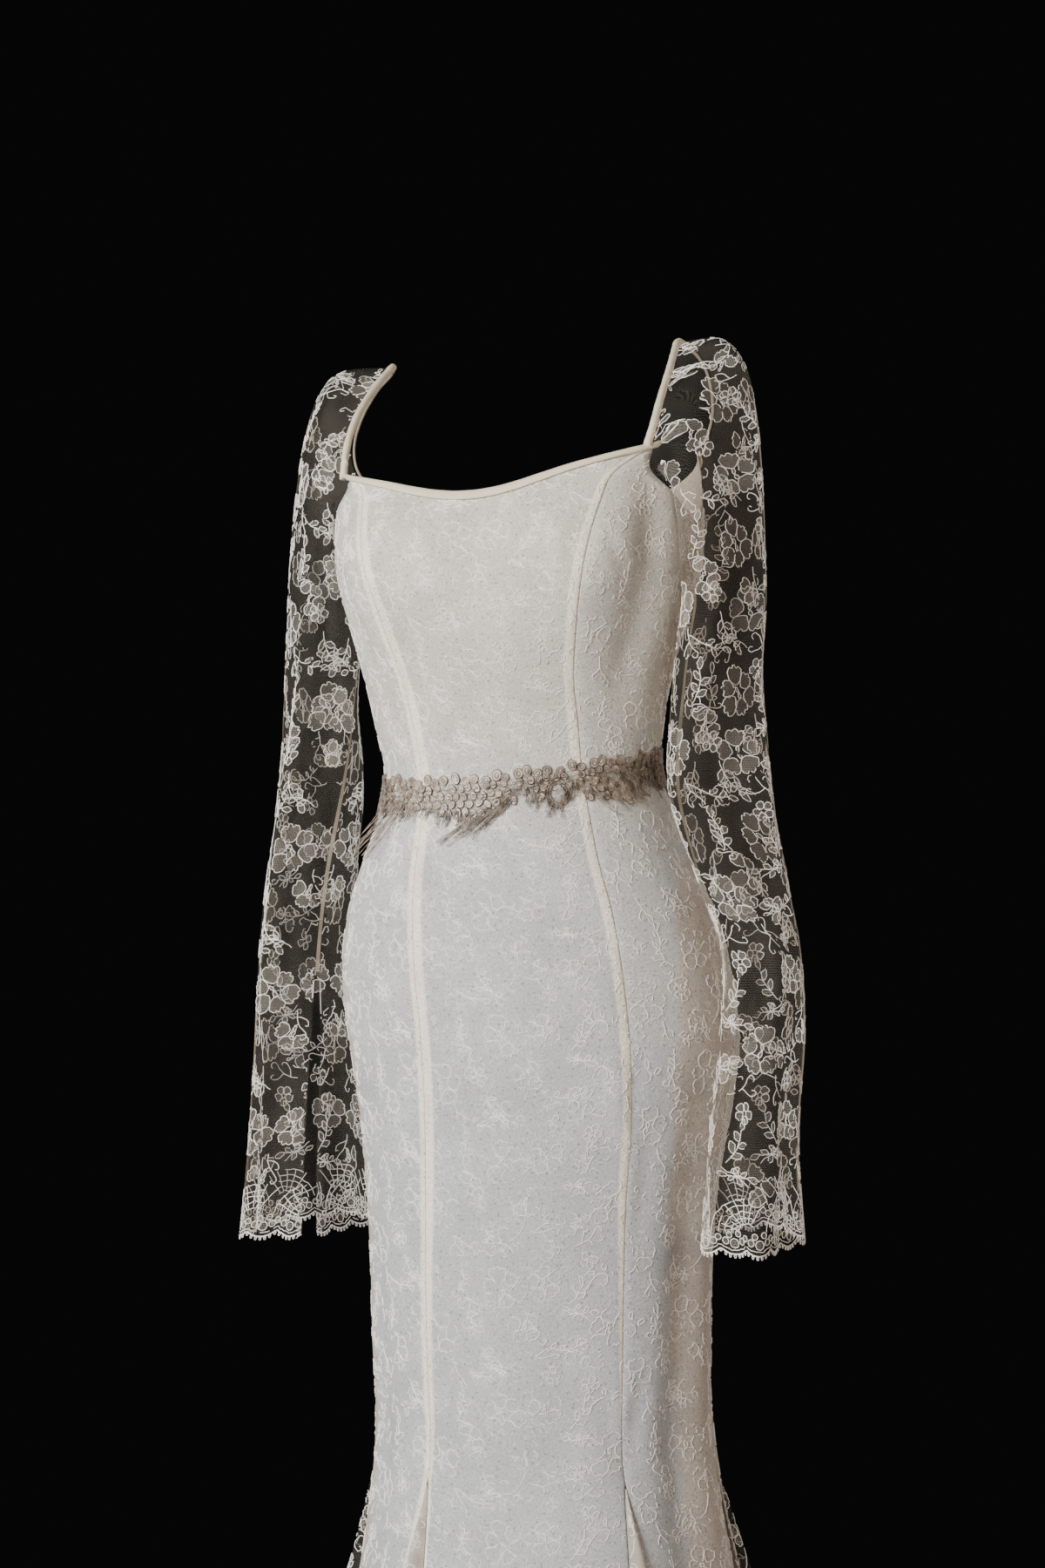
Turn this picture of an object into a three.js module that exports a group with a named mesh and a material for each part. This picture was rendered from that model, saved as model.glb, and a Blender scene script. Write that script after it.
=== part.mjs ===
// A long wedding dress with sheer lace sleeves, in the hollow shape that it keeps when it is worn.
// It is cut as a princess-line sheath: seven full-length panels from the neckline to the hem, with a
// lace godet let into each seam below the knee, two long sleeves whose bound edges are the shoulder
// straps, a bound neckline, and a trim of openwork lace round the waist.
// Millimetres. +Z is up, the wearer faces -Y, and +X is the wearer's left. The origin lies midway
// between the tops of the shoulders, where the wearer holds the dress up, so nearly all of it is below.
// The tables measure from the body's middle, and the whole dress is moved forward at the end.
import * as THREE from 'three';

// Driving dimensions
const LINED_CLOTH = 1.6; // wall of the lined body panels
const SHEER_CLOTH = 1.2; // wall of the sleeves and godets, which have no lining
const SEAM_GAP = 0.3; // between two pieces at a seam
const NECK_CENTRE_FRONT = -144; // height of the neckline at the centre front
const NECK_CENTRE_BACK = -165; // and at the centre back
const NECK_CORNER = -113; // where neckline, strap, armhole and princess seam meet
const UNDERARM = -173; // lowest point of the armhole
const NECK_SLANT = 0.037; // the neckline rises towards the wearer's left, for each mm across
const CORNER_ANGLE = 67; // degrees from the centre front to the strap's front corner
const BACK_CORNER_ANGLE = 80; // and from the centre back to its back corner
const GODET_TOP = -1004; // point of the godets, just below the knee
const HEM = -1450;
const GODET_HEM_WIDTH = 170; // one godet at the hem, measured flat
const GODET_CHORD = 0.62; // across a godet from seam to seam, as a share of its flat width
const GODET_RISE = 0.46; // how far its middle stands out of the seams, as a share of that chord
const SHOULDERS_BACK = 62; // the tops of the shoulders are this far behind the body's middle
const FLUTE_DEPTH = 20; // at the hem the seams stand out by this from the panels' middles

const deg = (angle) => (angle * Math.PI) / 180;
const mix = (from, to, share) => from + (to - from) * share;
const ease = (x) => x * x * (3 - 2 * x);
const within = (x) => Math.min(1, Math.max(0, x));

// Sections of the body, from the chest to the hem. half is the half-width between the side seams,
// front and back are the depths before and behind them, and square is 2 for an ellipse and more for
// a squarer section. shift moves a section to the wearer's left, and turn, in degrees, turns it to
// the left, because the hips face further that way than the shoulders do. princess and backSeam are
// the seams' angles in degrees from the centre front and from the centre back.
// cup is the extra fullness over each bust, at the princess seams.
const CUP_REACH = 52;
const SECTIONS = [
  { z: -90, half: 166, front: 84, back: 92, square: 2.6, cup: 0, shift: 0, turn: 0, princess: 76, backSeam: 86 },
  { z: -113, half: 166, front: 91, back: 97, square: 2.6, cup: 1, shift: 0, turn: 0, princess: 67, backSeam: 80 },
  { z: -134, half: 167, front: 97, back: 101, square: 2.6, cup: 5, shift: 0, turn: 0, princess: 55, backSeam: 73 },
  { z: -160, half: 167, front: 106, back: 104, square: 2.6, cup: 12, shift: 0, turn: 0, princess: 48, backSeam: 65 },
  { z: -190, half: 167, front: 115, back: 106, square: 2.6, cup: 17, shift: 0, turn: 0, princess: 42.5, backSeam: 57 },
  { z: -225, half: 161, front: 122, back: 105, square: 2.55, cup: 14, shift: 0, turn: 0, princess: 39.5, backSeam: 49.5 },
  { z: -265, half: 150, front: 117, back: 101, square: 2.4, cup: 6, shift: -2, turn: 1, princess: 39.5, backSeam: 43 },
  { z: -310, half: 139, front: 105, back: 95, square: 2.25, cup: 0, shift: -4, turn: 2.5, princess: 41, backSeam: 38 },
  { z: -350, half: 132, front: 96, back: 91, square: 2.15, cup: 0, shift: -4, turn: 4.5, princess: 43, backSeam: 35.5 },
  { z: -388, half: 127, front: 93, back: 91, square: 2.1, cup: 0, shift: -3, turn: 6, princess: 43.5, backSeam: 35 },
  { z: -430, half: 136, front: 96, back: 101, square: 2.1, cup: 0, shift: -2, turn: 7.5, princess: 43.5, backSeam: 35 },
  { z: -470, half: 150, front: 102, back: 115, square: 2.15, cup: 0, shift: -3, turn: 9, princess: 43.5, backSeam: 36 },
  { z: -510, half: 165, front: 108, back: 127, square: 2.2, cup: 0, shift: 0, turn: 10, princess: 43.3, backSeam: 37 },
  { z: -555, half: 175, front: 112, back: 135, square: 2.2, cup: 0, shift: 3, turn: 11, princess: 42.8, backSeam: 38 },
  { z: -600, half: 178, front: 114, back: 138, square: 2.2, cup: 0, shift: 7, turn: 11, princess: 42.5, backSeam: 38.5 },
  { z: -650, half: 175, front: 115, back: 134, square: 2.2, cup: 0, shift: 10, turn: 11, princess: 42.3, backSeam: 39 },
  { z: -700, half: 168, front: 116, back: 128, square: 2.2, cup: 0, shift: 9, turn: 11, princess: 42, backSeam: 39 },
  { z: -760, half: 160, front: 116, back: 122, square: 2.2, cup: 0, shift: 5, turn: 11, princess: 41.7, backSeam: 39 },
  { z: -830, half: 155, front: 116, back: 119, square: 2.2, cup: 0, shift: 2, turn: 11, princess: 41.5, backSeam: 39 },
  { z: -900, half: 154, front: 115, back: 118, square: 2.2, cup: 0, shift: 0, turn: 11, princess: 41.3, backSeam: 39 },
  { z: -960, half: 153, front: 115, back: 118, square: 2.15, cup: 0, shift: 0, turn: 10.5, princess: 41, backSeam: 39 },
  { z: -1010, half: 156, front: 120, back: 124, square: 2.1, cup: 0, shift: 0, turn: 10, princess: 41, backSeam: 40 },
  { z: -1060, half: 163, front: 128, back: 133, square: 2.05, cup: 0, shift: 0, turn: 10, princess: 42, backSeam: 42 },
  { z: -1110, half: 172, front: 138, back: 145, square: 2, cup: 0, shift: 0, turn: 10, princess: 43, backSeam: 44 },
  { z: -1200, half: 194, front: 161, back: 170, square: 2, cup: 0, shift: 0, turn: 10, princess: 45, backSeam: 47 },
  { z: -1310, half: 221, front: 189, back: 202, square: 2, cup: 0, shift: 0, turn: 10, princess: 47, backSeam: 49 },
  { z: -1400, half: 243, front: 211, back: 227, square: 2, cup: 0, shift: 0, turn: 10, princess: 48, backSeam: 50 },
  { z: -1460, half: 256, front: 225, back: 244, square: 2, cup: 0, shift: 0, turn: 10, princess: 48, backSeam: 50 },
];

// The deepest creases of the worn cloth. angle is in degrees from the centre front, positive on the
// wearer's left, at the top and at the foot of the crease; reach is its half-width and depth its
// depth, in mm, and a ridge has a negative depth.
const CREASES = [
  { top: -122, foot: -335, angleTop: 64, angleFoot: 58, reach: 13, depth: 5 },
  { top: -118, foot: -345, angleTop: 72, angleFoot: 71, reach: 12, depth: -4 },
  { top: -150, foot: -330, angleTop: 82, angleFoot: 84, reach: 10, depth: 4.5 },
  { top: -170, foot: -270, angleTop: 27, angleFoot: 29, reach: 12, depth: 3.5 },
  { top: -130, foot: -330, angleTop: -60, angleFoot: -53, reach: 12, depth: 4.5 },
  { top: -150, foot: -300, angleTop: -30, angleFoot: -33, reach: 15, depth: 2.5 },
  { top: -560, foot: -760, angleTop: 36, angleFoot: 39, reach: 11, depth: -3 },
  { top: -640, foot: -1180, angleTop: 68, angleFoot: 60, reach: 17, depth: 8 },
  { top: -700, foot: -1160, angleTop: 78, angleFoot: 76, reach: 14, depth: -4 },
  { top: -720, foot: -1150, angleTop: -70, angleFoot: -66, reach: 17, depth: 5 },
  { top: -650, foot: -1170, angleTop: 112, angleFoot: 116, reach: 18, depth: 6 },
  { top: -690, foot: -1160, angleTop: -114, angleFoot: -118, reach: 18, depth: 6 },
  { top: -150, foot: -340, angleTop: 118, angleFoot: 122, reach: 13, depth: 4 },
  { top: -150, foot: -330, angleTop: -116, angleFoot: -121, reach: 13, depth: 4 },
];

// All the columns of a table at a height, on a smooth curve through its rows.
function rowAt(table, z) {
  const last = table.length - 1;
  let i = table.findIndex((row) => row.z <= z) - 1;
  if (i < -1) i = last - 1;
  i = Math.min(last - 1, Math.max(0, i));
  const [a, b] = [table[i], table[i + 1]];
  const before = table[Math.max(0, i - 1)];
  const after = table[Math.min(last, i + 2)];
  const step = b.z - a.z;
  const t = within((z - a.z) / step);
  const [t2, t3] = [t * t, t * t * t];
  const found = {};
  for (const column of Object.keys(a)) {
    const slopeA = ((b[column] - before[column]) / (b.z - before.z)) * step;
    const slopeB = ((after[column] - a[column]) / (after.z - a.z)) * step;
    found[column] =
      (2 * t3 - 3 * t2 + 1) * a[column] + (t3 - 2 * t2 + t) * slopeA +
      (3 * t2 - 2 * t3) * b[column] + (t3 - t2) * slopeB;
  }
  return found;
}

// The seams' angles at a height, in radians from the centre front, in order round the body to the left.
// The two centre backs are the same seam.
const SEAMS = ['centre_back_r', 'back_r', 'side_r', 'front_r', 'front_l', 'side_l', 'back_l', 'centre_back_l'];
function seamAngle(seam, z) {
  const { princess, backSeam } = rowAt(SECTIONS, z);
  const angles = [-180, backSeam - 180, -90, -princess, princess, 90, 180 - backSeam, 180];
  return deg(angles[SEAMS.indexOf(seam)]);
}

// Half a godet's width at a height, as an angle.
function godetHalfAngle(z) {
  const share = within((GODET_TOP - z) / (GODET_TOP - HEM));
  const { half, front } = rowAt(SECTIONS, z);
  return ((share * GODET_HEM_WIDTH) / 2 / ((half + front) / 2)) * GODET_CHORD;
}

// How far the flared hem stands out: at the seams, still more at the godets' middles, and inwards
// between them.
function flute(angle, z) {
  const share = within((GODET_TOP - z) / (GODET_TOP - HEM));
  if (share === 0) return 0;
  let i = 0;
  while (i < SEAMS.length - 2 && angle > seamAngle(SEAMS[i + 1], z)) i += 1;
  const from = seamAngle(SEAMS[i], z);
  const to = seamAngle(SEAMS[i + 1], z);
  const half = godetHalfAngle(z);
  const across = within(Math.min(angle - from, to - angle) / half);
  const bulge = GODET_RISE * GODET_CHORD * GODET_HEM_WIDTH * share * (1 - across * across);
  return bulge + (FLUTE_DEPTH / 2) * share ** 1.2 * Math.cos((2 * Math.PI * (angle - from)) / (to - from));
}

function crease(angle, z, radius) {
  let sum = 0;
  for (const c of CREASES) {
    const along = (c.top - z) / (c.top - c.foot);
    if (along <= 0 || along >= 1) continue;
    const middle = deg(mix(c.angleTop, c.angleFoot, along));
    const away = ((angle - middle) * radius) / c.reach;
    sum -= c.depth * Math.exp(-away * away) * Math.sin(Math.PI * along) ** 0.8;
  }
  return sum;
}

// A point of the body's outer surface, at an angle from the centre front and a height.
function bodyPoint(angle, z) {
  const s = rowAt(SECTIONS, z);
  const turned = Math.atan2(Math.sin(angle), Math.cos(angle));
  const depth = Math.cos(turned) > 0 ? s.front : s.back;
  const radius =
    (Math.abs(Math.sin(turned) / s.half) ** s.square + Math.abs(Math.cos(turned) / depth) ** s.square) **
    (-1 / s.square);
  const fromSeam = ((Math.abs(turned) - deg(s.princess)) * radius) / CUP_REACH;
  const cup = s.cup * Math.exp(-fromSeam * fromSeam);
  const out = radius + cup + flute(turned, z) + crease(turned, z, radius);
  const heading = turned + deg(s.turn);
  return new THREE.Vector3(s.shift + out * Math.sin(heading), -out * Math.cos(heading), z);
}

// The outward direction there.
function bodyNormal(angle, z) {
  const [da, dz] = [0.02, 3];
  const across = bodyPoint(angle + da, z).sub(bodyPoint(angle - da, z));
  const down = bodyPoint(angle, z - dz).sub(bodyPoint(angle, z + dz));
  return down.cross(across).normalize();
}

const bodyOut = (angle, z, out) => bodyPoint(angle, z).addScaledVector(bodyNormal(angle, z), out);
const angleFor = (length, z) => (2 * length) / (rowAt(SECTIONS, z).half + rowAt(SECTIONS, z).front);

// A closed wall between two grids of points, an outer and an inner one. Rows run down and columns run
// round to the left, so the faces point out. keep(i, j) is false where a cell is left open, and round
// is true for a tube, whose last column meets its first.
function wall(outer, inner, { round = false, keep = () => true } = {}) {
  const rows = outer.length;
  const columns = outer[0].length;
  const cellsAcross = round ? columns : columns - 1;
  const positions = [];
  for (const grid of [outer, inner]) for (const row of grid) for (const p of row) positions.push(p.x, p.y, p.z);
  const outerAt = (i, j) => i * columns + (j % columns);
  const innerAt = (i, j) => rows * columns + outerAt(i, j);
  const isKept = (i, j) => {
    if (round) j = (j + columns) % columns;
    return i >= 0 && i < rows - 1 && j >= 0 && j < cellsAcross && keep(i, j);
  };
  const faces = [];
  const quad = (a, b, c, d) => faces.push(a, b, c, a, c, d);
  for (let i = 0; i < rows - 1; i += 1) {
    for (let j = 0; j < cellsAcross; j += 1) {
      if (!isKept(i, j)) continue;
      const [a, b, c, d] = [outerAt(i, j), outerAt(i + 1, j), outerAt(i + 1, j + 1), outerAt(i, j + 1)];
      const [e, f, g, h] = [innerAt(i, j), innerAt(i + 1, j), innerAt(i + 1, j + 1), innerAt(i, j + 1)];
      quad(a, b, c, d);
      faces.push(e, g, f, e, h, g);
      if (!isKept(i - 1, j)) quad(a, d, h, e);
      if (!isKept(i + 1, j)) quad(c, b, f, g);
      if (!isKept(i, j - 1)) quad(b, a, e, f);
      if (!isKept(i, j + 1)) quad(d, c, g, h);
    }
  }
  const geometry = new THREE.BufferGeometry();
  geometry.setAttribute('position', new THREE.Float32BufferAttribute(positions, 3));
  geometry.setIndex(faces);
  return geometry;
}

const dress = new THREE.Group();
function add(name, geometry, finish) {
  const mesh = new THREE.Mesh(geometry, finish);
  mesh.name = name;
  dress.add(mesh);
}

const cloth = (color, roughness) => new THREE.MeshStandardMaterial({ color, roughness, metalness: 0 });
const linedLace = cloth(0xe9e6e0, 0.8);
const sheerLace = cloth(0xd9d2c6, 0.85);
const ivoryBinding = cloth(0xe6dcc6, 0.75);
const taupeTrim = cloth(0x9c8c7d, 0.6);

// The body panels. The rows above YOKE_FOOT divide the way down from a panel's own top edge, and
// those below it are level.
const YOKE_FOOT = -232;
const YOKE_ROWS = 6;
const LEVELS = [
  -262, -292, -322, -352, -382, -412, -442, -474, -508, -545, -585, -630, -680, -735, -795, -860, -930,
  GODET_TOP, GODET_TOP - 18, -1055, -1100, -1150, -1210, -1272, -1335, -1395, HEM,
];

// Height of the neckline or armhole. across is 0 at the neckline's middle, or at the underarm, and 1
// at the strap's corner, and side is where the point lies, from -1 at the right to 1 at the left.
const neckline = (centre, across, side) =>
  mix(centre, NECK_CORNER, Math.abs(across) ** 2.2) + NECK_SLANT * side * 143;
const armhole = (across, side) => mix(UNDERARM, NECK_CORNER + NECK_SLANT * side * 143, across ** 1.25);

const PANELS = [
  { name: 'centre_front', from: 'front_r', to: 'front_l', columns: 8, top: (s) => neckline(NECK_CENTRE_FRONT, 2 * s - 1, 2 * s - 1) },
  { name: 'side_front_left', from: 'front_l', to: 'side_l', columns: 6, top: (s) => armhole(1 - s, 1) },
  { name: 'side_back_left', from: 'side_l', to: 'back_l', columns: 6, top: (s) => armhole(s, 1) },
  { name: 'centre_back_left', from: 'back_l', to: 'centre_back_l', columns: 4, top: (s) => neckline(NECK_CENTRE_BACK, 1 - s, 1 - s) },
  { name: 'centre_back_right', from: 'centre_back_r', to: 'back_r', columns: 4, top: (s) => neckline(NECK_CENTRE_BACK, s, -s) },
  { name: 'side_back_right', from: 'back_r', to: 'side_r', columns: 6, top: (s) => armhole(1 - s, -1) },
  { name: 'side_front_right', from: 'side_r', to: 'front_r', columns: 6, top: (s) => armhole(s, -1) },
];

// The angle of a panel's column at a height: its edges stop half a seam gap short of the seams, or of
// the godets let into them.
function panelAngle(panel, share, z) {
  const edge = godetHalfAngle(z) + angleFor(SEAM_GAP / 2, z);
  return mix(seamAngle(panel.from, z) + edge, seamAngle(panel.to, z) - edge, share);
}

function panelHeights(panel, share) {
  const top = panel.top(share);
  const yoke = Array.from({ length: YOKE_ROWS }, (_, i) => mix(top, YOKE_FOOT, i / YOKE_ROWS));
  return [...yoke, YOKE_FOOT, ...LEVELS];
}

function panelWall(panel) {
  const shares = Array.from({ length: panel.columns + 1 }, (_, j) => j / panel.columns);
  const heights = shares.map((share) => panelHeights(panel, share));
  const grid = (out) =>
    heights[0].map((_, i) => shares.map((share, j) => bodyOut(panelAngle(panel, share, heights[j][i]), heights[j][i], out)));
  return wall(grid(0), grid(-LINED_CLOTH));
}
for (const panel of PANELS) add(panel.name, panelWall(panel), linedLace);

// The godets: a tapered piece of lace in each seam, from just below the knee to the hem.
const GODET_COLUMNS = 4;
const GODET_LEVELS = LEVELS.filter((z) => z < GODET_TOP);
function godetWall(seam) {
  const shares = Array.from({ length: GODET_COLUMNS + 1 }, (_, j) => j / GODET_COLUMNS);
  const grid = (out) =>
    GODET_LEVELS.map((z) => {
      const reach = godetHalfAngle(z) - angleFor(SEAM_GAP / 2, z);
      const middle = seamAngle(seam, z);
      return shares.map((share) => bodyOut(mix(middle - reach, middle + reach, share), z, out));
    });
  return wall(grid(0), grid(-SHEER_CLOTH));
}
const GODETS = { front_r: 'front_right', front_l: 'front_left', side_r: 'side_right', side_l: 'side_left', back_r: 'back_right', back_l: 'back_left', centre_back_l: 'centre_back' };
for (const [seam, place] of Object.entries(GODETS)) add(`godet_${place}`, godetWall(seam), sheerLace);

// The neckline's binding: a narrow folded band on the outside of the panels' top edges.
const BINDING_WIDTH = 7;
const BINDING_CLOTH = 1.3;
function bindingWall(panels, stepsEach) {
  const path = [];
  for (const panel of panels) {
    for (let i = 0; i <= stepsEach; i += 1) {
      if (i === stepsEach && panel !== panels.at(-1)) continue;
      path.push([panel, i / stepsEach]);
    }
  }
  const grid = (out) =>
    [0, BINDING_WIDTH].map((down) =>
      path.map(([panel, share]) => {
        const z = panel.top(share) - down;
        return bodyOut(panelAngle(panel, share, z), z, out);
      }));
  return wall(grid(SEAM_GAP + 0.4 + BINDING_CLOTH), grid(SEAM_GAP + 0.4));
}
const panelNamed = (name) => PANELS.find((panel) => panel.name === name);
add('neck_binding_front', bindingWall([panelNamed('centre_front')], 16), ivoryBinding);
add('neck_binding_back', bindingWall([panelNamed('centre_back_left'), panelNamed('centre_back_right')], 8), ivoryBinding);

// The shoulder straps: the rolled binding of each sleeve's neck edge, from the front corner over the
// shoulder to the back corner. across is the distance from the dress's middle.
const STRAP_RADIUS = 3.6;
const STRAP_PATH = [
  { across: 145.5, y: -52, z: -92 },
  { across: 146.5, y: -27, z: -62 },
  { across: 145, y: 6, z: -34 },
  { across: 142, y: 33, z: -14 },
  { across: 141, y: 52, z: -3 },
  { across: 149, y: 62, z: -9 },
  { across: 161, y: 58, z: -24 },
  { across: 171, y: 46, z: -48 },
  { across: 175, y: 34, z: -75 },
  { across: 170, y: 25, z: -98 },
];
function strapCurve(side) {
  const front = bodyPoint(side * deg(CORNER_ANGLE), NECK_CORNER + NECK_SLANT * side * 143);
  const back = bodyPoint(side * (Math.PI - deg(BACK_CORNER_ANGLE)), NECK_CORNER + NECK_SLANT * side * 143);
  const raise = new THREE.Vector3(0, 0, 1);
  const points = STRAP_PATH.map((p) => new THREE.Vector3(side * p.across, p.y, p.z));
  return new THREE.CatmullRomCurve3([front.addScaledVector(raise, 5), ...points, back.addScaledVector(raise, 5)]);
}
function strapTube(side) {
  const section = new THREE.Shape(new THREE.EllipseCurve(0, 0, STRAP_RADIUS, STRAP_RADIUS).getPoints(8).slice(0, -1));
  return new THREE.ExtrudeGeometry(section, { steps: 28, extrudePath: strapCurve(side), bevelEnabled: false });
}
add('strap_left', strapTube(1), ivoryBinding);
add('strap_right', strapTube(-1), ivoryBinding);

// The sleeves: tubes of sheer lace that hang empty from the strap and the armhole, with a seam that
// starts under the arm, comes round towards the front, and is left open as a slit at the wrist. Each
// row is a level section: across and y are its middle, halfAcross and halfDeep its half-widths, tilt
// turns its front edge towards the body and twist brings the seam forward, in degrees, and fold is
// the depth of its lengthwise folds. spread is half the slit's width.
const LEFT_SLEEVE = [
  { z: -245, across: 193, y: -4, halfAcross: 30, halfDeep: 60, tilt: 8, twist: 0, fold: 1, spread: 2 },
  { z: -325, across: 188, y: -14, halfAcross: 31, halfDeep: 59, tilt: 14, twist: 14, fold: 1.5, spread: 2 },
  { z: -405, across: 189, y: -20, halfAcross: 33, halfDeep: 58, tilt: 24, twist: 22, fold: 2, spread: 2 },
  { z: -480, across: 205, y: -20, halfAcross: 34, halfDeep: 58, tilt: 8, twist: 26, fold: 3, spread: 2 },
  { z: -556, across: 219, y: -20, halfAcross: 34, halfDeep: 58, tilt: -14, twist: 28, fold: 3, spread: 2 },
  { z: -632, across: 217, y: -22, halfAcross: 36, halfDeep: 60, tilt: -8, twist: 30, fold: 4, spread: 3.5 },
  { z: -708, across: 209, y: -26, halfAcross: 38, halfDeep: 64, tilt: -10, twist: 30, fold: 5, spread: 3.5 },
  { z: -800, across: 207, y: -30, halfAcross: 41, halfDeep: 70, tilt: -6, twist: 32, fold: 6, spread: 3 },
];
const RIGHT_SLEEVE = [
  { z: -245, across: 193, y: -4, halfAcross: 33, halfDeep: 60, tilt: 14, twist: 0, fold: 1, spread: 2 },
  { z: -325, across: 195, y: -12, halfAcross: 33, halfDeep: 59, tilt: 14, twist: 14, fold: 2, spread: 2 },
  { z: -400, across: 197, y: -18, halfAcross: 34, halfDeep: 58, tilt: 0, twist: 22, fold: 3, spread: 2 },
  { z: -475, across: 207, y: -20, halfAcross: 34, halfDeep: 58, tilt: -5, twist: 26, fold: 3, spread: 2 },
  { z: -556, across: 217, y: -20, halfAcross: 35, halfDeep: 58, tilt: -7, twist: 28, fold: 3, spread: 2 },
  { z: -637, across: 215, y: -22, halfAcross: 36, halfDeep: 60, tilt: -14, twist: 28, fold: 4, spread: 5 },
  { z: -717, across: 214, y: -26, halfAcross: 38, halfDeep: 65, tilt: -20, twist: 28, fold: 5, spread: 8 },
  { z: -806, across: 215, y: -30, halfAcross: 41, halfDeep: 71, tilt: -22, twist: 28, fold: 6, spread: 10 },
];
const SLEEVE_LEVELS = [-240, -276, -314, -354, -394, -434, -474, -514, -556, -574, -610, -650, -690, -730, -768, -803];
const SLIT_TOP = -574; // the first level at which the slit is open
const SLEEVE_FOLDS = 5;
const BODY_CLEARANCE = 2.6; // the sleeve's outer face keeps this far off the body
const HEAD_STEPS = 9;
const STRAP_STEPS = 8;
const ARMHOLE_STEPS = 6;
const FRONT_TURN = 105; // degrees round the sleeve from its outer line to the strap's front corner
const BACK_TURN = 118; // and to its back corner

// The sleeve's neck edge and armhole, as a loop from the front corner over the shoulder, down the back
// of the armhole and up its front, with each point's turn round the sleeve, in degrees from its outer
// line, towards the front. Its two last turns before and after 180 are the edges of the seam.
function sleeveLoop(side) {
  const curve = strapCurve(side);
  const loop = [];
  for (let i = 0; i <= STRAP_STEPS; i += 1) {
    const share = i / STRAP_STEPS;
    const point = curve.getPoint(mix(0.02, 0.98, share));
    point.x += side * (STRAP_RADIUS + 1.2 + SHEER_CLOTH);
    loop.push({ point, turn: mix(FRONT_TURN, -BACK_TURN, share) });
  }
  const word = side > 0 ? 'left' : 'right';
  const edge = (panel, share) => {
    const own = side > 0 ? 1 - share : share; // a left panel's shares run the other way
    const z = panel.top(own);
    return bodyOut(panelAngle(panel, own, z), z, 0.7).add(new THREE.Vector3(0, 0, 0.5));
  };
  const shares = Array.from({ length: ARMHOLE_STEPS }, (_, i) => (i + 1) / (ARMHOLE_STEPS + 0.12));
  for (const share of shares) {
    loop.push({ point: edge(panelNamed(`side_back_${word}`), share), turn: -mix(BACK_TURN, 180, share) });
  }
  for (const share of [...shares].reverse()) {
    loop.push({ point: edge(panelNamed(`side_front_${word}`), 1 - share), turn: mix(FRONT_TURN, 180, share) });
  }
  return loop;
}

// A point moved out until it is clear of the body at its height.
function clearOfBody(point) {
  const { shift, turn } = rowAt(SECTIONS, point.z);
  const middle = new THREE.Vector3(shift, 0, point.z);
  const away = point.clone().sub(middle);
  const surface = bodyPoint(Math.atan2(away.x, -away.y) - deg(turn), point.z).sub(middle).length();
  return middle.addScaledVector(away.normalize(), Math.max(point.distanceTo(middle), surface + BODY_CLEARANCE));
}

// A point of a sleeve's outer surface, at a turn round it and a height.
function sleevePoint(side, turn, level) {
  const s = rowAt(side > 0 ? LEFT_SLEEVE : RIGHT_SLEEVE, level);
  const seamSide = Math.abs(turn) > 175 ? Math.sign(turn) * (180 - (s.spread * 180) / (Math.PI * 48)) : turn;
  const at = deg(seamSide - s.twist);
  const ripple = 1 + (s.fold / 50) * Math.cos(SLEEVE_FOLDS * at + 0.6 * side);
  const [across, forward] = [s.halfAcross * Math.cos(at) * ripple, s.halfDeep * Math.sin(at) * ripple];
  const tilt = deg(s.tilt);
  const outward = s.across + across * Math.cos(tilt) - forward * Math.sin(tilt);
  return new THREE.Vector3(side * outward, s.y - forward * Math.cos(tilt) - across * Math.sin(tilt), level);
}

function sleeveWall(side) {
  let loop = sleeveLoop(side);
  // Columns run round to the left, seen from above: from the outer line that is backwards on the
  // wearer's left side and forwards on the right.
  if (side > 0) loop = [loop[0], ...loop.slice(1).reverse()];
  const rows = [loop.map(({ point }) => point)];
  for (let i = 1; i < HEAD_STEPS; i += 1) {
    const t = (i / HEAD_STEPS) * (Math.PI / 2);
    const outward = Math.sin(t) ** 0.5;
    const downward = (1 - Math.cos(t)) ** 1.3;
    rows.push(loop.map(({ point, turn }) => {
      const end = sleevePoint(side, turn, SLEEVE_LEVELS[0]);
      const y = mix(point.y, end.y, mix(outward, downward, 0.5));
      return clearOfBody(new THREE.Vector3(mix(point.x, end.x, outward), y, mix(point.z, end.z, downward)));
    }));
  }
  for (const level of SLEEVE_LEVELS) rows.push(loop.map(({ turn }) => clearOfBody(sleevePoint(side, turn, level))));
  const seamColumn = loop.findIndex(({ turn }, j) => Math.abs(turn) > 175 && Math.abs(loop[j + 1].turn) > 175);
  const slitRow = HEAD_STEPS + SLEEVE_LEVELS.indexOf(SLIT_TOP);
  const keep = (i, j) => !(j === seamColumn && i >= slitRow);
  return wall(rows, thickened(rows, -SHEER_CLOTH), { round: true, keep });
}

// A closed grid of rings moved out along its own normals, or in where out is negative.
function thickened(rows, out) {
  const count = rows[0].length;
  return rows.map((row, i) =>
    row.map((point, j) => {
      const across = row[(j + 1) % count].clone().sub(row[(j + count - 1) % count]);
      const down = rows[Math.min(rows.length - 1, i + 1)][j].clone().sub(rows[Math.max(0, i - 1)][j]);
      return point.clone().addScaledVector(down.cross(across).normalize(), out);
    }));
}
add('sleeve_left', sleeveWall(1), sheerLace);
add('sleeve_right', sleeveWall(-1), sheerLace);

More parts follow.
